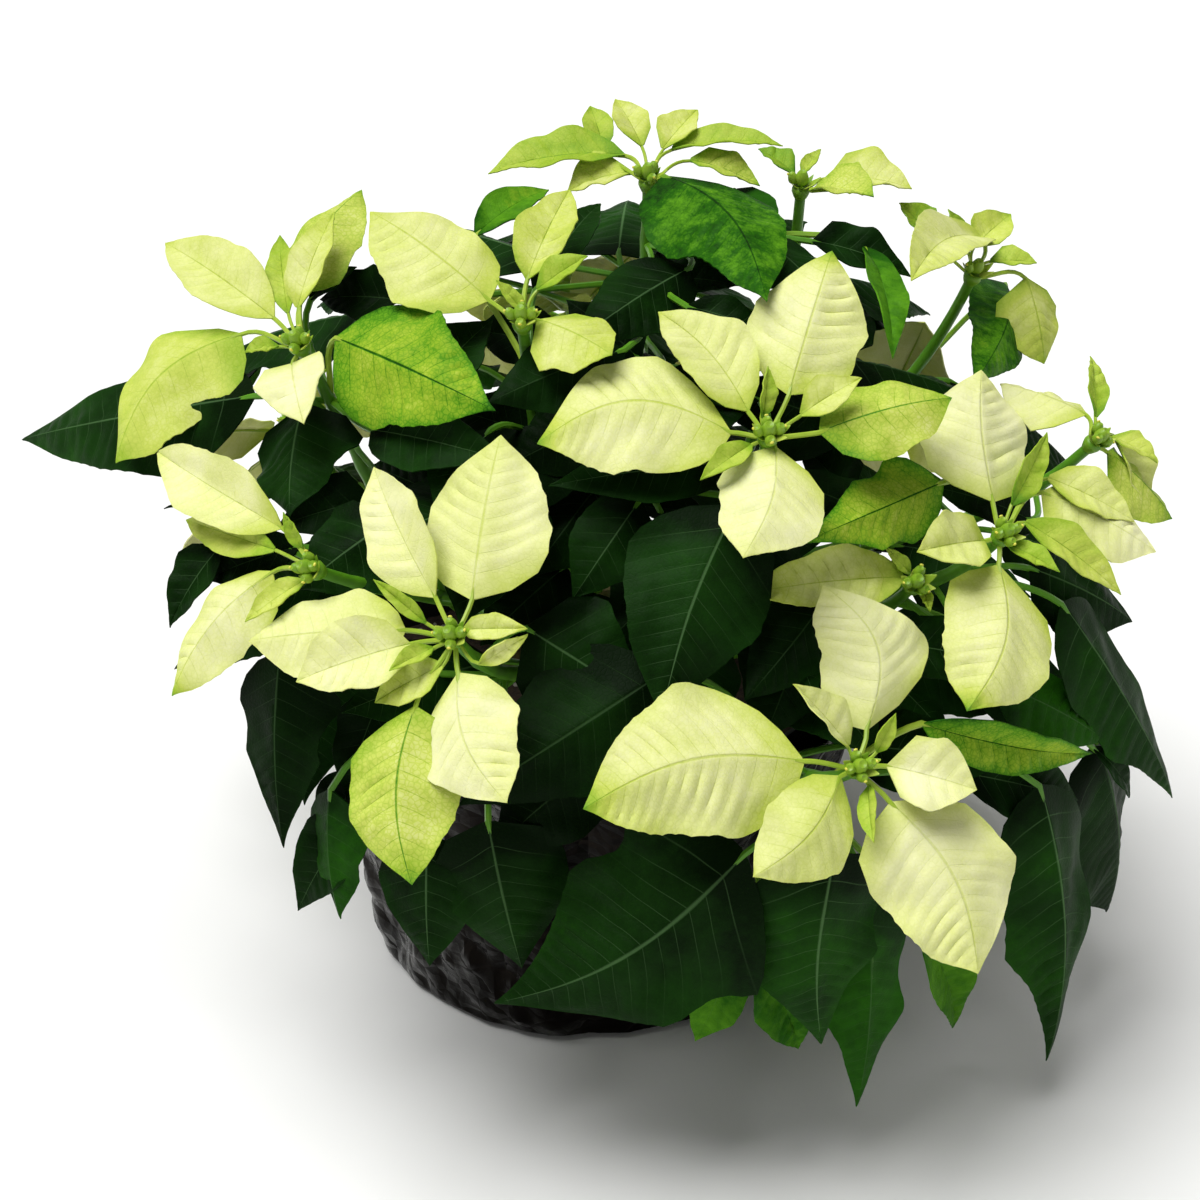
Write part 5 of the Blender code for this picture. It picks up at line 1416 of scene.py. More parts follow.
# Green and cream leaf tissue share one scale of colour, from no chlorophyll to the most
CHLOROPHYLL = (
    (0.00, "#E8E8B6"), (0.10, "#DCE096"), (0.24, "#BECB58"), (0.38, "#94B22E"), (0.54, "#568F1A"),
    (0.70, "#255B0B"), (0.86, "#16360D"), (1.00, "#071804"),
)
PALE_VEIN = "#5F8453"
# Optical density of watery plant tissue and its skin
PLANT_IOR = 1.42


def chlorophyll_colour(tree: bpy.types.NodeTree, green: bpy.types.NodeSocket) -> bpy.types.NodeSocket:
    """Colours an amount of chlorophyll by the scale.

    Args:
        tree: The node tree that gets the scale.
        green: The amount, from zero to one.

    Returns:
        The colour.
    """
    ramp = add_node(tree, "ShaderNodeValToRGB", {}, {0: green})
    points = ramp.color_ramp.elements
    while len(points) < len(CHLOROPHYLL):
        points.new(0.5)
    for point, (position, code) in zip(points, CHLOROPHYLL):
        point.position = position
        point.color = linear(code)
    return ramp.outputs[0]


@dataclass(frozen=True)
class Tissue:
    """Living leaf blade with a waxy cuticle: satin where it is dark, soft and glowing where it is cream."""

    name: str
    roughness: float
    glow: float
    gloss: float
    paler: float = 0.0
    raised: float = -1.0
    relief: float = 0.5

    # Veins: where each starts and ends to fade, and how strong side veins are at the midrib and at the margin
    SIDE_VEIN = (0.0, 0.036)
    SIDE_VEIN_FADE = (0.1, 0.9)
    SIDE_VEIN_STRENGTH = (0.56, 0.1)
    MIDRIB = (0.006, 0.028)
    # The net between the veins: its meshes and threads, and how green it is beside a vein
    NET_MESH = 1.6
    NET_THREAD = 0.16
    NET_GREEN = 0.24
    # Span, detail and roughness of patches, of the slow drift from blade to blade, and of the cells' grain
    PATCHES = (7.0, 5.0, 0.72)
    DRIFT = (38.0, 1.0, 0.5)
    GRAIN = (0.9, 2.0, 0.5)
    PATCH_CONTRAST = 2.4
    DRIFT_GREEN = 0.28
    # How closely the margin's and the tip's green keep to the edge, and the greener foot
    MARGIN_POWER = 5.0
    TIP_POWER = 6.5
    FOOT = (0.0, 0.16)
    FOOT_GREEN = 0.13
    # Bump: how deep it is in millimetres, and what the grain adds to it and to the roughness
    RELIEF_DEPTH = 0.35
    GRAIN_RELIEF = 0.25
    GRAIN_ROUGHNESS = 0.12
    # Light goes farther in tissue as yellow-green than as blue
    LIGHT_REACH = (1.0, 0.95, 0.35)
    LIGHT_SCALE = 1.2

    def build(self) -> bpy.types.Material:
        """Makes the material, which reads the blade's map and looks.

        Returns:
            The material.
        """
        material, tree, shader = new_material(self.name)
        looks = {
            name: add_node(tree, "ShaderNodeAttribute", {"attribute_name": name}).outputs["Fac"]
            for name in LOOKS
        }
        uv = add_node(tree, "ShaderNodeUVMap", {"uv_map": "blade"})
        place = add_node(tree, "ShaderNodeSeparateXYZ", inputs={0: uv.outputs[0]})
        across = add_node(
            tree, "ShaderNodeMath", {"operation": "MULTIPLY_ADD"}, {0: place.outputs["X"], 1: 2.0, 2: -1.0}
        )
        side = add_node(tree, "ShaderNodeMath", {"operation": "ABSOLUTE"}, {0: across.outputs[0]}).outputs[0]
        along = place.outputs["Y"]

        # Side veins lie at whole numbers of pairs and are about 0.4 mm wide
        count = add_node(tree, "ShaderNodeMath", {"operation": "MULTIPLY"}, {0: along, 1: looks["pairs"]})
        rest = add_node(tree, "ShaderNodeMath", {"operation": "PINGPONG"}, {0: count.outputs[0], 1: 0.5})
        lateral, fade, midrib, foot = (
            add_node(
                tree, "ShaderNodeMapRange", {"interpolation_type": "SMOOTHSTEP"},
                {"Value": value, "From Min": near, "From Max": far, "To Min": first, "To Max": last},
            ).outputs[0]
            for value, (near, far), (first, last) in (
                (rest.outputs[0], self.SIDE_VEIN, (1.0, 0.0)),
                (side, self.SIDE_VEIN_FADE, self.SIDE_VEIN_STRENGTH),
                (side, self.MIDRIB, (1.0, 0.0)),
                (along, self.FOOT, (self.FOOT_GREEN, 0.0)),
            )
        )
        lateral = add_node(tree, "ShaderNodeMath", {"operation": "MULTIPLY"}, {0: lateral, 1: fade})
        veins = add_node(
            tree, "ShaderNodeMath", {"operation": "MAXIMUM"}, {0: lateral.outputs[0], 1: midrib}
        ).outputs[0]

        where = add_node(tree, "ShaderNodeTexCoord").outputs["Object"]
        cells = add_node(
            tree, "ShaderNodeTexVoronoi", {"feature": "DISTANCE_TO_EDGE"},
            {"Vector": where, "Scale": 1 / (self.NET_MESH * MM)},
        )
        net = add_node(
            tree, "ShaderNodeMapRange", {},
            {"Value": cells.outputs[0], "From Max": self.NET_THREAD, "To Min": 1.0, "To Max": 0.0},
        ).outputs[0]
        patches, drift, grain = (
            add_node(
                tree, "ShaderNodeTexNoise", {},
                {"Vector": where, "Scale": 1 / (span * MM), "Detail": detail, "Roughness": roughness},
            ).outputs[0]
            for span, detail, roughness in (self.PATCHES, self.DRIFT, self.GRAIN)
        )

        # Chlorophyll: the blade's own, then patches, drift, veins and net, margin, tip and the greener foot
        spread = add_node(
            tree, "ShaderNodeMath", {"operation": "MULTIPLY_ADD"},
            {0: patches, 1: self.PATCH_CONTRAST, 2: -self.PATCH_CONTRAST / 2},
        )
        fine = add_node(
            tree, "ShaderNodeMath", {"operation": "MULTIPLY_ADD"}, {0: net, 1: self.NET_GREEN, 2: veins}
        ).outputs[0]
        greener = add_node(tree, "ShaderNodeMath", {"operation": "MAXIMUM"}, {0: looks["vein"], 1: 0.0})
        rim = add_node(tree, "ShaderNodeMath", {"operation": "POWER"}, {0: side, 1: self.MARGIN_POWER})
        end = add_node(tree, "ShaderNodeMath", {"operation": "POWER"}, {0: along, 1: self.TIP_POWER})
        green = looks["tone"]
        for amount, weight in (
            (spread.outputs[0], looks["mottle"]),
            (drift, self.DRIFT_GREEN),
            (fine, greener.outputs[0]),
            (rim.outputs[0], looks["margin"]),
            (end.outputs[0], looks["tip"]),
            (foot, 1.0),
            (self.DRIFT_GREEN / 2 + self.paler, -1.0),
        ):
            green = add_node(
                tree, "ShaderNodeMath", {"operation": "MULTIPLY_ADD"}, {0: amount, 1: weight, 2: green}
            ).outputs[0]

        # A vein value below zero makes the veins paler than the blade
        paler = add_node(tree, "ShaderNodeMath", {"operation": "MULTIPLY"}, {0: looks["vein"], 1: -1.0})
        paler = add_node(
            tree, "ShaderNodeMath", {"operation": "MULTIPLY", "use_clamp": True},
            {0: paler.outputs[0], 1: veins},
        )
        colour = add_node(
            tree, "ShaderNodeMix", {"data_type": "RGBA"},
            {0: paler.outputs[0], 6: chlorophyll_colour(tree, green), 7: linear(PALE_VEIN)},
        )

        # Relief: veins sunk above and raised below, and the grain of the cells
        height = add_node(
            tree, "ShaderNodeMath", {"operation": "MULTIPLY_ADD"}, {0: fine, 1: self.raised, 2: 1.0}
        )
        height, rough = (
            add_node(
                tree, "ShaderNodeMath", {"operation": "MULTIPLY_ADD"}, {0: grain, 1: weight, 2: start}
            ).outputs[0]
            for weight, start in (
                (self.GRAIN_RELIEF, height.outputs[0]),
                (self.GRAIN_ROUGHNESS, self.roughness - self.GRAIN_ROUGHNESS / 2),
            )
        )
        bump = add_node(
            tree, "ShaderNodeBump", {},
            {"Height": height, "Strength": self.relief, "Distance": self.RELIEF_DEPTH * MM},
        )
        feed(tree, shader, {
            "Base Color": colour.outputs[2],
            "Normal": bump.outputs[0],
            "Roughness": rough,
            "IOR": PLANT_IOR,
            "Specular IOR Level": self.gloss,
            "Subsurface Weight": self.glow,
            "Subsurface Radius": self.LIGHT_REACH,
            "Subsurface Scale": self.LIGHT_SCALE * MM,
        })
        return material


@dataclass(frozen=True)
class Stalk:
    """Herbaceous stem: smooth, juicy green skin that is paler where it is young."""

    name: str
    roughness: float = 0.42
    patch: float = 5.0
    patch_green: float = 0.16

    def build(self) -> bpy.types.Material:
        """Makes the material, whose green follows the tone of each stalk.

        Returns:
            The material.
        """
        material, tree, shader = new_material(self.name)
        where = add_node(tree, "ShaderNodeTexCoord").outputs["Object"]
        tone = add_node(tree, "ShaderNodeAttribute", {"attribute_name": "tone"}).outputs["Fac"]
        patches = add_node(
            tree, "ShaderNodeTexNoise", {}, {"Vector": where, "Scale": 1 / (self.patch * MM), "Detail": 3.0}
        ).outputs[0]
        green = add_node(
            tree, "ShaderNodeMath", {"operation": "MULTIPLY_ADD"}, {0: patches, 1: self.patch_green, 2: tone}
        )
        green = add_node(
            tree, "ShaderNodeMath", {"operation": "SUBTRACT"}, {0: green.outputs[0], 1: self.patch_green / 2}
        )
        bump = add_node(
            tree, "ShaderNodeBump", {}, {"Height": patches, "Strength": 0.3, "Distance": 0.3 * MM}
        )
        feed(tree, shader, {
            "Base Color": chlorophyll_colour(tree, green.outputs[0]),
            "Normal": bump.outputs[0],
            "Roughness": self.roughness,
            "IOR": PLANT_IOR,
            "Subsurface Weight": 0.15,
            "Subsurface Radius": (0.8, 1.0, 0.3),
            "Subsurface Scale": 1.0 * MM,
        })
        return material


@dataclass(frozen=True)
class Patterned:
    """A surface of two colours in a noise pattern, with relief: bark, peat, plastic, foil or a waxy gland."""

    name: str
    low: str
    high: str
    scale: float
    roughness: float
    relief: float
    depth: float
    metallic: float = 0.0
    stretch: tuple[float, float, float] = (1.0, 1.0, 1.0)
    creases: float = 0.0
    specks: str = ""

    # Specks lie in cells of this many millimetres, in so large a part of them, and fill so much of each
    SPECK_SPACING = 3.0
    SPECK_SHARE = 0.07
    SPECK_SIZE = 0.42
    # How much higher a crease is than the noise
    CREASE_HEIGHT = 1.6

    def build(self) -> bpy.types.Material:
        """Makes the material on Object coordinates.

        Returns:
            The material.
        """
        material, tree, shader = new_material(self.name)
        where = add_node(tree, "ShaderNodeTexCoord").outputs["Object"]
        where = add_node(tree, "ShaderNodeMapping", {}, {"Vector": where, "Scale": self.stretch}).outputs[0]
        height = pattern = add_node(
            tree, "ShaderNodeTexNoise", {},
            {"Vector": where, "Scale": 1 / (self.scale * MM), "Detail": 6.0, "Roughness": 0.6},
        ).outputs[0]
        sharper = add_node(
            tree, "ShaderNodeMapRange", {}, {"Value": pattern, "From Min": 0.3, "From Max": 0.7}
        )
        colour = add_node(
            tree, "ShaderNodeMix", {"data_type": "RGBA"},
            {0: sharper.outputs[0], 6: linear(self.low), 7: linear(self.high)},
        ).outputs[2]
        if self.specks:
            cells = add_node(
                tree, "ShaderNodeTexVoronoi", {}, {"Vector": where, "Scale": 1 / (self.SPECK_SPACING * MM)}
            )
            pick = add_node(tree, "ShaderNodeSeparateColor", {}, {0: cells.outputs["Color"]})
            rare = add_node(
                tree, "ShaderNodeMath", {"operation": "GREATER_THAN"},
                {0: pick.outputs[0], 1: 1.0 - self.SPECK_SHARE},
            )
            near = add_node(
                tree, "ShaderNodeMath", {"operation": "LESS_THAN"},
                {0: cells.outputs["Distance"], 1: self.SPECK_SIZE},
            )
            speck = add_node(
                tree, "ShaderNodeMath", {"operation": "MULTIPLY"}, {0: rare.outputs[0], 1: near.outputs[0]}
            )
            colour = add_node(
                tree, "ShaderNodeMix", {"data_type": "RGBA"},
                {0: speck.outputs[0], 6: colour, 7: linear(self.specks)},
            ).outputs[2]
        if self.creases:
            cells = add_node(
                tree, "ShaderNodeTexVoronoi", {"feature": "DISTANCE_TO_EDGE"},
                {"Vector": where, "Scale": 1 / (self.creases * MM)},
            )
            height = add_node(
                tree, "ShaderNodeMath", {"operation": "MULTIPLY_ADD"},
                {0: cells.outputs[0], 1: self.CREASE_HEIGHT, 2: pattern},
            ).outputs[0]
        bump = add_node(
            tree, "ShaderNodeBump", {},
            {"Height": height, "Strength": self.relief, "Distance": self.depth * MM},
        )
        feed(tree, shader, {
            "Base Color": colour,
            "Normal": bump.outputs[0],
            "Roughness": self.roughness,
            "Metallic": self.metallic,
        })
        return material


@dataclass
class FoilWrap:
    """Hand-crumpled foil round the pot: a pleated tube on a flat disc."""

    rings: tuple[tuple[float, float, float, float], ...] = (
        # height, radius, pleat depth, unevenness
        (0.0, 74.0, 0.0, 0.0),
        (3.0, 82.0, 0.6, 1.6),
        (34.0, 86.5, 1.8, 2.4),
        (78.0, 92.5, 1.6, 1.8),
        (104.0, 100.5, 3.0, 2.0),
        (117.0, 106.0, 4.4, 3.0),
    )
    pleats: int = 18
    edge_wave: float = 4.0
    edge_pleat: float = 1.6
    crumple: float = 2.2
    facet: float = 15.0
    steps: int = 252
    levels: int = 56
    wall: float = 0.3
    seed: int = 7

    # Slow unevenness round the wrap: waves, phase and part of it
    SLOW_WAVES = ((3, 0.8, 0.6), (7, 2.1, 0.4))
    # The flat bottom ends at this radius, and the crumple comes in over this height
    BOTTOM_RADIUS = 73.0
    CRUMPLE_START = 8.0
    # The facets' pattern: the radius that it is laid on, how far it is warped, and over what span
    PATTERN_RADIUS = 88.0
    WARP = 7.0
    WARP_SPAN = 24.0

    def shape(self, place: Vector) -> Vector:
        """Where a point of the smooth tube goes: pleats, slow unevenness, then crumpled facets.

        Args:
            place: A point of the spun tube.

        Returns:
            Its place on the crumpled foil.
        """
        angle = math.atan2(place.y, place.x)
        height = place.z
        radius = math.hypot(place.x, place.y)
        levels, _, pleats, unevenness = zip(*self.rings)
        folded = abs(((angle / math.tau * self.pleats) % 1.0) * 2 - 1) * 2 - 1
        slow = sum(part * math.sin(waves * angle + phase) for waves, phase, part in self.SLOW_WAVES)
        rise = min(height / self.CRUMPLE_START, 1.0) if radius > self.BOTTOM_RADIUS else 0.0
        at = Vector((math.cos(angle), math.sin(angle), 0.0)) * self.PATTERN_RADIUS
        at.z = height * 0.8
        at += noise.noise_vector(at / self.WARP_SPAN) * self.WARP
        large = noise.voronoi(at / self.facet, distance_metric="MANHATTAN")[0]
        small = noise.voronoi(at.zxy / (0.45 * self.facet) + at.yzx / 60, distance_metric="CHEBYCHEV")[0]
        crumple = 1.3 * (1.0 - large[0]) - 0.7 * small[0]
        collar, edge = levels[-2:]
        top = max(0.0, (height - collar) / (edge - collar))
        radius += float(np.interp(height, levels, pleats)) * folded
        radius += float(np.interp(height, levels, unevenness)) * slow
        radius += self.crumple * crumple * rise * (1 - 0.3 * top)
        wave = self.edge_wave * math.sin(5 * angle + 0.4)
        height += top * (wave + self.edge_pleat * math.cos(angle * self.pleats))
        return Vector((radius * math.cos(angle), radius * math.sin(angle), height))

    def build(self, finish: bpy.types.Material) -> None:
        """Spins the tube, crumples it and gives it its wall.

        Args:
            finish: The foil's material.
        """
        heights, radii, _, _ = zip(*self.rings)
        noise.seed_set(self.seed)
        body = Body("crumpled_foil", "foil_wrap", "foil")
        levels = [heights[-1] * (k / self.levels) ** 0.9 for k in range(self.levels + 1)]
        outline = [(0.0, 0.0), (40.0, 0.0)] + [(float(np.interp(z, heights, radii)), z) for z in levels]
        part = spun(body.part(), outline, self.steps)
        for vertex in part.verts:
            vertex.co = self.shape(vertex.co)
        bottom = [face for face in part.faces if face.calc_center_median().z < 0.1]
        if sum(face.normal.z * face.calc_area() for face in bottom) > 0:
            bmesh.ops.reverse_faces(part, faces=part.faces)
        body.take(part)
        solidify = body.finish([finish], 25.0).modifiers.new("wall", "SOLIDIFY")
        solidify.thickness = self.wall * MM
        solidify.offset = -1.0


@dataclass
class NurseryPot:
    """The plastic pot inside the foil: a foot ring, a tapered wall and a rolled rim."""

    base: float = 1.3
    top: float = 116.0
    band: float = 98.0
    foot_radius: float = 70.0
    flare: float = 20.0
    inside: float = 3.8
    steps: int = 96

    def wall(self, height: float) -> float:
        """Outer radius of the tapered wall."""
        return self.foot_radius + self.flare * (height - self.base) / (self.top - self.base)

    def build(self, finish: bpy.types.Material) -> None:
        """Spins the pot from the middle of its underside round its rim to the middle of its floor.

        Args:
            finish: The pot's material.
        """
        base, band, inside = self.base, self.band, self.inside
        rim = self.wall(band)
        outline = (
            (0.0, base), (52.0, base), (54.0, base + 1.2), (62.0, base + 1.2), (64.0, base), (69.0, base),
            (self.foot_radius, base + 1.2), (rim, band), (rim + 1.6, band + 0.2), (rim + 2.0, band + 0.8),
            (91.4, 114.6), (91.9, 115.6), (91.4, self.top), (90.4, 115.9), (90.0, 115.0),
            (rim - 1.4, band - 2.6), (self.wall(5.0) - 1.6, 5.0), (self.wall(inside) - 2.6, inside),
            (0.0, inside),
        )
        body = Body("pot_with_rolled_rim", "nursery_pot", "pot")
        body.take(spun(body.part(), outline, self.steps))
        body.finish([finish], 35.0)


@dataclass
class PeatFill:
    """The peat in the pot, whose top has rings close enough to be crumbly."""

    floor: float = 4.2
    edge: float = 98.8
    doming: float = 3.0
    rim: float = 84.5
    rings: int = 41
    crumbs: float = 1.2
    crumb_span: float = 6.0
    steps: int = 120

    def build(self, finish: bpy.types.Material) -> None:
        """Spins the peat and roughens its top.

        Args:
            finish: The peat's material.
        """
        middle = self.edge + self.doming
        rings = range(1, self.rings + 1)
        top = [(self.rim - 2.0 * k, self.edge + self.doming * min(1.0, k / 16)) for k in rings]
        outline = (
            (0.0, self.floor), (68.4, self.floor), (84.0, 94.6), (84.9, 98.6), *top, (0.0, middle)
        )
        body = Body("peat_fill", "soil", "peat")
        part = spun(body.part(), outline, self.steps)
        for vertex in part.verts:
            if vertex.co.z > middle - 4.0:
                vertex.co.z += self.crumbs * noise.fractal(vertex.co / self.crumb_span, 0.7, 2.0, 4)
        body.take(part)
        body.finish([finish], 35.0)


@dataclass
class Cuttings:
    """The rooted cuttings that the branches grow from."""

    count: int = 3
    ring: float = 30.0
    first_angle: float = -80.0
    foot: float = 57.3
    taper_start: float = 116.0
    top: float = 158.0
    radii: tuple[float, float] = (5.2, 4.2)
    rounding: float = 0.9
    scar_spacing: float = 11.0
    scar_shift: float = 3.7
    scar_height: float = 0.25
    grain_depth: float = 0.35
    grain_span: float = 5.0

    def places(self) -> list[Place]:
        """Where the cuttings stand."""
        angles = [self.first_angle + 360.0 * k / self.count for k in range(self.count)]
        return [direction(angle, 0.0) * self.ring for angle in angles]

    def build(self, finish: bpy.types.Material) -> None:
        """Makes each cutting: a tapering trunk with old leaf scars and a cut, healed top.

        Args:
            finish: The bark's material.
        """
        first, last = self.radii
        for k, place in enumerate(self.places()):
            body = Body(f"rooted_cutting_{k + 1}", f"trunk_{k + 1}", "bark")
            heights = np.linspace(self.foot, self.top, 60)
            radii = []
            for z in heights:
                taper = max(0.0, (z - self.taper_start) / (self.top - self.taper_start))
                between = ((z + self.scar_shift * k) % self.scar_spacing) / self.scar_spacing - 0.5
                scar = self.scar_height * math.exp(-(between**2) / 0.01)
                radii.append(first + (last - first) * taper + scar - 0.1)
            radii[-1] -= self.rounding
            part = Tube([place + UP * z for z in heights], radii, 16).mesh(body.part())
            for vertex in part.verts:
                out = Vector((vertex.co.x - place[0], vertex.co.y - place[1], 0.0)).normalized()
                grain = noise.fractal(vertex.co / self.grain_span, 0.8, 2.0, 3)
                vertex.co += out * (self.grain_depth * grain)
            body.take(part)
            body.finish([finish], 40.0)


@dataclass
class FlowerHead:
    """The cyathia at the heart of a bloom: small green cups, all but the middle one with a yellow gland."""

    name: str
    hub: Place
    axis: Place
    count: int
    middle: float = 2.4
    outer: float = 1.8
    ring: float = 3.3
    stretch: float = 1.35
    gap: float = 2.4
    gland_part: float = 0.4
    bracteoles: int = 7
    bracteole_length: float = 5.6
    bracteole_spread: float = 1.6

    CUP_TONE = 0.44
    LOBES = 5
    # Part of the cup's radius above which its top is drawn in
    MOUTH = 0.85

    def spoke(self, turn: float) -> Place:
        """The direction across the axis at a turn in radians."""
        side = unit(np.cross(self.axis, np.array((0.3, 0.2, 1.0))))
        return side * math.cos(turn) + np.cross(self.axis, side) * math.sin(turn)

    def places(self) -> list[tuple[Place, Place, float]]:
        """Where the cups stand.

        Returns:
            Centre, axis and radius of each cup, the middle one first.
        """
        foot = self.hub + self.axis * self.gap
        found = [(foot + self.axis * (self.stretch * self.middle), self.axis, self.middle)]
        for k in range(self.count - 1):
            spoke = self.spoke(math.tau * k / (self.count - 1) + 0.5)
            centre = foot + self.axis * (self.stretch * self.outer + 0.5 * (-1) ** k) + spoke * self.ring
            found.append((centre, unit(self.axis + spoke * 0.35), self.outer))
        return found

    def cup(self, part: Mesh, centre: Place, axis: Place, radius: float) -> Mesh:
        """One cup: an egg-shaped body whose top is drawn in to a lobed mouth.

        Args:
            part: The empty part that gets it.
            centre: The cup's centre.
            axis: Where its mouth looks.
            radius: Its radius.

        Returns:
            The same part.
        """
        bmesh.ops.create_uvsphere(part, u_segments=10, v_segments=9, radius=radius)
        for vertex in part.verts:
            z = vertex.co.z / radius
            lobes = 1 + 0.16 * math.cos(self.LOBES * math.atan2(vertex.co.y, vertex.co.x)) * max(0.0, z)
            narrow = (1 - 0.22 * z) * lobes
            vertex.co = (vertex.co.x * narrow, vertex.co.y * narrow, vertex.co.z * self.stretch)
            if z > self.MOUTH:
                vertex.co.z -= 0.55 * radius * (z - self.MOUTH) / (1 - self.MOUTH)
        return moved(part, Vector(UP).rotation_difference(Vector(axis)).to_matrix(), centre)

    def bracteole(self, part: Mesh, turn: float, length: float) -> Mesh:
        """One tiny pointed bract beside the cups: a thin scale drawn out to its tip.

        Args:
            part: The empty part that gets it.
            turn: Its turn round the hub, in radians.
            length: Its length.

        Returns:
            The same part.
        """
        bmesh.ops.create_uvsphere(part, u_segments=10, v_segments=8, radius=0.5)
        for vertex in part.verts:
            t = vertex.co.x + 0.5
            vertex.co.y *= 0.62 * (1.25 - t)
            vertex.co.z = 0.1 * vertex.co.z + 0.22 * t * t + 0.5 * vertex.co.y**2
            vertex.co.x = t
        bmesh.ops.scale(part, vec=(length, length, length), verts=part.verts)
        spoke = self.spoke(turn)
        out = unit(spoke + self.axis * 0.55)
        across = np.cross(self.axis, spoke)
        frame = Matrix((out, across, np.cross(out, across))).transposed()
        return moved(part, frame, self.hub + self.axis * 1.6 + spoke * 1.2)

    def gland(self, part: Mesh, centre: Place, axis: Place, radius: float) -> Mesh:
        """The lip of one nectar gland on the outer side of a cup.

        Args:
            part: The empty part that gets it.
            centre: The cup's centre.
            axis: Where the cup's mouth looks.
            radius: The cup's radius.

        Returns:
            The same part.
        """
        bmesh.ops.create_uvsphere(part, u_segments=8, v_segments=6, radius=self.gland_part * radius)
        bmesh.ops.scale(part, vec=(1.0, 0.6, 0.62), verts=part.verts)
        out = unit(centre - (self.hub + self.axis * ((centre - self.hub) @ self.axis)) + self.axis * 0.01)
        turn = Vector((0.0, 1.0, 0.0)).rotation_difference(Vector(out)).to_matrix()
        return moved(part, turn, centre + axis * (0.55 * radius * self.stretch) + out * (0.72 * radius))

    def build(self, cup: bpy.types.Material, gland: bpy.types.Material) -> None:
        """Makes the head as one piece.

        Args:
            cup: The material of cups and bracteoles.
            gland: The material of the glands.
        """
        body = Body("cyathia_" + self.name, "flower_head_" + self.name, "bud")
        for k, (centre, axis, radius) in enumerate(self.places()):
            body.take(self.cup(body.part(), centre, axis, radius), 0, self.CUP_TONE)
            if k:
                body.take(self.gland(body.part(), centre, axis, radius), 1, 0.3)
        for k in range(self.bracteoles):
            turn = math.tau * (k / self.bracteoles + 0.05 * math.sin(7.0 * k))
            length = self.bracteole_length + self.bracteole_spread * math.sin(5.0 * k)
            body.take(self.bracteole(body.part(), turn, length), 0, 0.3 + 0.08 * (k % 3))
        body.finish([cup, gland])


@dataclass
class BractWhorl:
    """The bracts of one bloom round the swollen end of its branch."""

    name: str
    hub: Place
    axis: Place
    blades: list[Blade]

    # The swollen end: places along the axis and the radius at each
    SWELLING = ((-2.3, 2.3), (-1.2, 2.8), (0.2, 3.3), (1.5, 3.2), (2.3, 2.2))

    def build(self, finishes: Sequence[bpy.types.Material]) -> None:
        """Makes the whorl as one piece.

        Args:
            finishes: The materials of upper side, underside and stalk.
        """
        body = Body("whorl_" + self.name, "bracts_" + self.name, "bract")
        path = [self.hub + self.axis * along for along, _ in self.SWELLING]
        swelling = Tube(path, [radius for _, radius in self.SWELLING], 12)
        body.take(swelling.mesh(body.part()), 2, 0.5)
        for blade in self.blades:
            blade.add_to(body)
        body.finish(finishes)


@dataclass
class LeafyStem:
    """One branch with the leaves that spring from it."""

    branch: Branch
    blades: list[Blade]
    radii: tuple[float, float] = (2.6, 1.9)
    stations: int = 28
    swelling: float = 0.5
    swelling_reach: float = 3.5

    def build(self, finishes: Sequence[bpy.types.Material]) -> None:
        """Makes the branch, swollen where each petiole springs, and its leaves as one piece.

        Args:
            finishes: The materials of upper side, underside and stalk.
        """
        body = Body("foliage_" + self.branch.name, self.branch.node, "leaf")
        parts = [k / (self.stations - 1) for k in range(self.stations)]
        path = [self.branch.at(t) for t in parts]
        radii = []
        for t, place in zip(parts, path):
            near = min([apart(blade.root, place) for blade in self.blades] + [99.0])
            swell = self.swelling * math.exp(-((near / self.swelling_reach) ** 2))
            radii.append(self.radii[0] + (self.radii[1] - self.radii[0]) * t + swell)
        body.take(Tube(path, radii, 10).mesh(body.part()), 2, 0.56)
        for blade in self.blades:
            blade.add_to(body)
        body.finish(finishes)


@dataclass
class Studio:
    """A pale floor, a soft sky, and one large soft lamp high on the left."""

    floor_size: float = 20.0
    floor_colour: str = "#EFEFED"
    sky_colour: str = "#FFFFFF"
    sky_strength: float = 0.25
    lamp_azimuth: float = -160.0
    lamp_elevation: float = 71.0
    lamp_strength: float = 3.5
    lamp_angle: float = 42.0

    def build(self) -> None:
        """Makes floor, sky and lamp."""
        part = bmesh.new()
        bmesh.ops.create_grid(part, x_segments=1, y_segments=1, size=self.floor_size)
        mesh = bpy.data.meshes.new("floor")
        part.to_mesh(mesh)
        part.free()
        # Matte paper: no mirror image of the plant
        paper, tree, shader = new_material("matte_backdrop_paper")
        feed(tree, shader, {"Base Color": linear(self.floor_colour), "Roughness": 0.9})
        mesh.materials.append(paper)
        floor = new_object("floor", mesh)
        floor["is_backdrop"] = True
        world = bpy.data.worlds.new("soft_sky")
        world.use_nodes = True
        sky = {"Color": linear(self.sky_colour), "Strength": self.sky_strength}
        feed(world.node_tree, world.node_tree.nodes["Background"], sky)
        bpy.context.scene.world = world
        bpy.context.scene.view_settings.view_transform = "Standard"
        data = bpy.data.lights.new("lamp", "SUN")
        data.energy = self.lamp_strength
        data.angle = math.radians(self.lamp_angle)
        toward = Vector(direction(self.lamp_azimuth, self.lamp_elevation))
        new_object("lamp", data).rotation_euler = toward.to_track_quat("Z", "Y").to_euler()


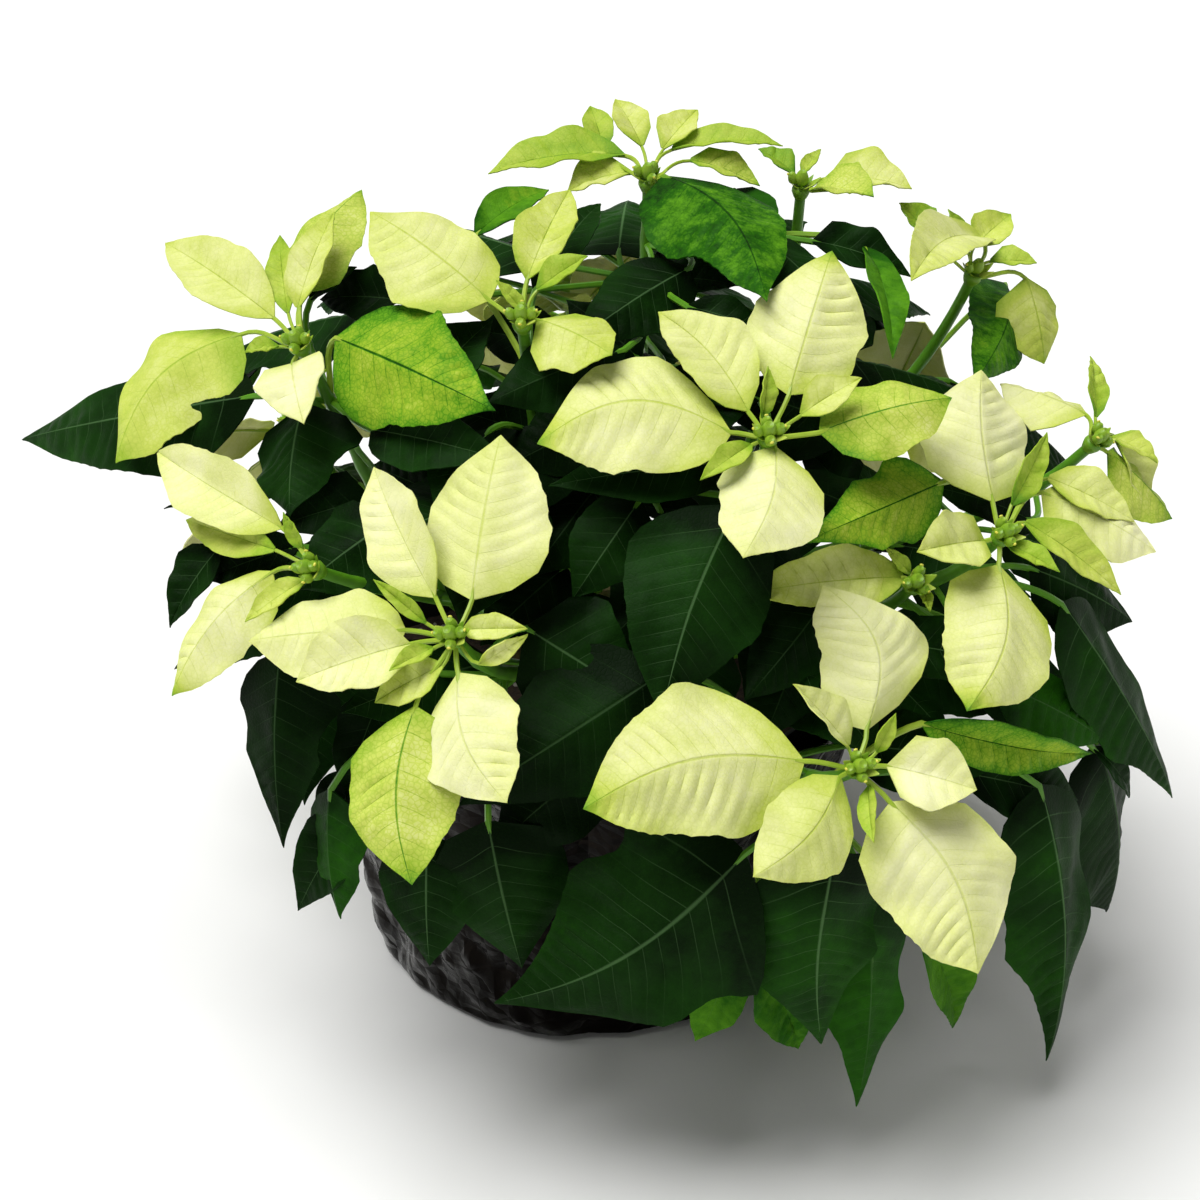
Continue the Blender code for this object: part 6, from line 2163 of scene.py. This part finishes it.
def main() -> None:
    """Builds every sub-assembly in order and reports it."""
    logging.basicConfig(level=logging.INFO, format="%(name)s: %(message)s")
    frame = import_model()
    solid_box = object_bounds()
    VIEW.add_camera()
    Studio().build()

    # Bract blade: little chlorophyll, so it is cream, soft and matte, and glows a little
    bract_finishes = [
        Tissue("bract_blade_upper", 0.6, 0.16, 0.25).build(),
        Tissue("bract_blade_under", 0.7, 0.16, 0.25, paler=-0.05, raised=1.0, relief=0.7).build(),
        Stalk("bract_stalk_skin").build(),
    ]
    # Leaf blade: full of chlorophyll, so it is dark and opaque, with a dull satin skin
    leaf_finishes = [
        Tissue("leaf_blade_upper", 0.48, 0.0, 0.04).build(),
        Tissue("leaf_blade_under", 0.65, 0.0, 0.04, paler=0.1, raised=1.0, relief=0.8).build(),
        Stalk("leaf_stalk_skin").build(),
    ]
    # Semi-woody skin: green showing through thin corky brown
    bark = Patterned(
        "half_woody_bark", "#5A5A2E", "#84734C", 4.0, 0.75, 0.5, 0.4, stretch=(1.0, 1.0, 0.35)
    ).build()
    # Sphagnum peat: fibrous and nearly black, with white specks of perlite
    peat = Patterned("sphagnum_peat", "#120C08", "#3A281B", 2.5, 0.95, 1.0, 1.5, specks="#8E8A80").build()
    # Injection-moulded black polypropylene: even satin
    plastic = Patterned("moulded_black_polypropylene", "#141414", "#1C1C1C", 30.0, 0.45, 0.1, 0.1).build()
    # Dark metallised polyester film: mirror-like facets between hard creases
    foil = Patterned(
        "metallised_polyester_film", "#0F0D0C", "#1B1815", 26.0, 0.13, 0.75, 0.9, 1.0, creases=8.0
    ).build()
    # Cup skin: thin, fresh green, a little glossier than a stalk
    cup = Stalk("cyathium_cup_skin", 0.4).build()
    # Nectar gland: wet, waxy yellow
    gland = Patterned("waxy_nectar_gland", "#C9C63A", "#E3DF5E", 1.5, 0.3, 0.1, 0.1).build()

    FoilWrap().build(foil)
    NurseryPot().build(plastic)
    PeatFill().build(peat)
    Cuttings().build(bark)

    layout = Layout(Solids(frame["nodes"]))
    layout.place_all()
    for branch in layout.branches:
        LeafyStem(branch, layout.blades.get(branch.node, [])).build(leaf_finishes)
    for name, (hub, axis, count) in layout.hubs.items():
        BractWhorl(name, hub, axis, layout.blades.get("bracts_" + name, [])).build(bract_finishes)
        FlowerHead(name, hub, axis, count).build(cup, gland)

    [[list(corner) for corner in box] for box in (solid_box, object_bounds())]


if __name__ == "__main__":
    main()
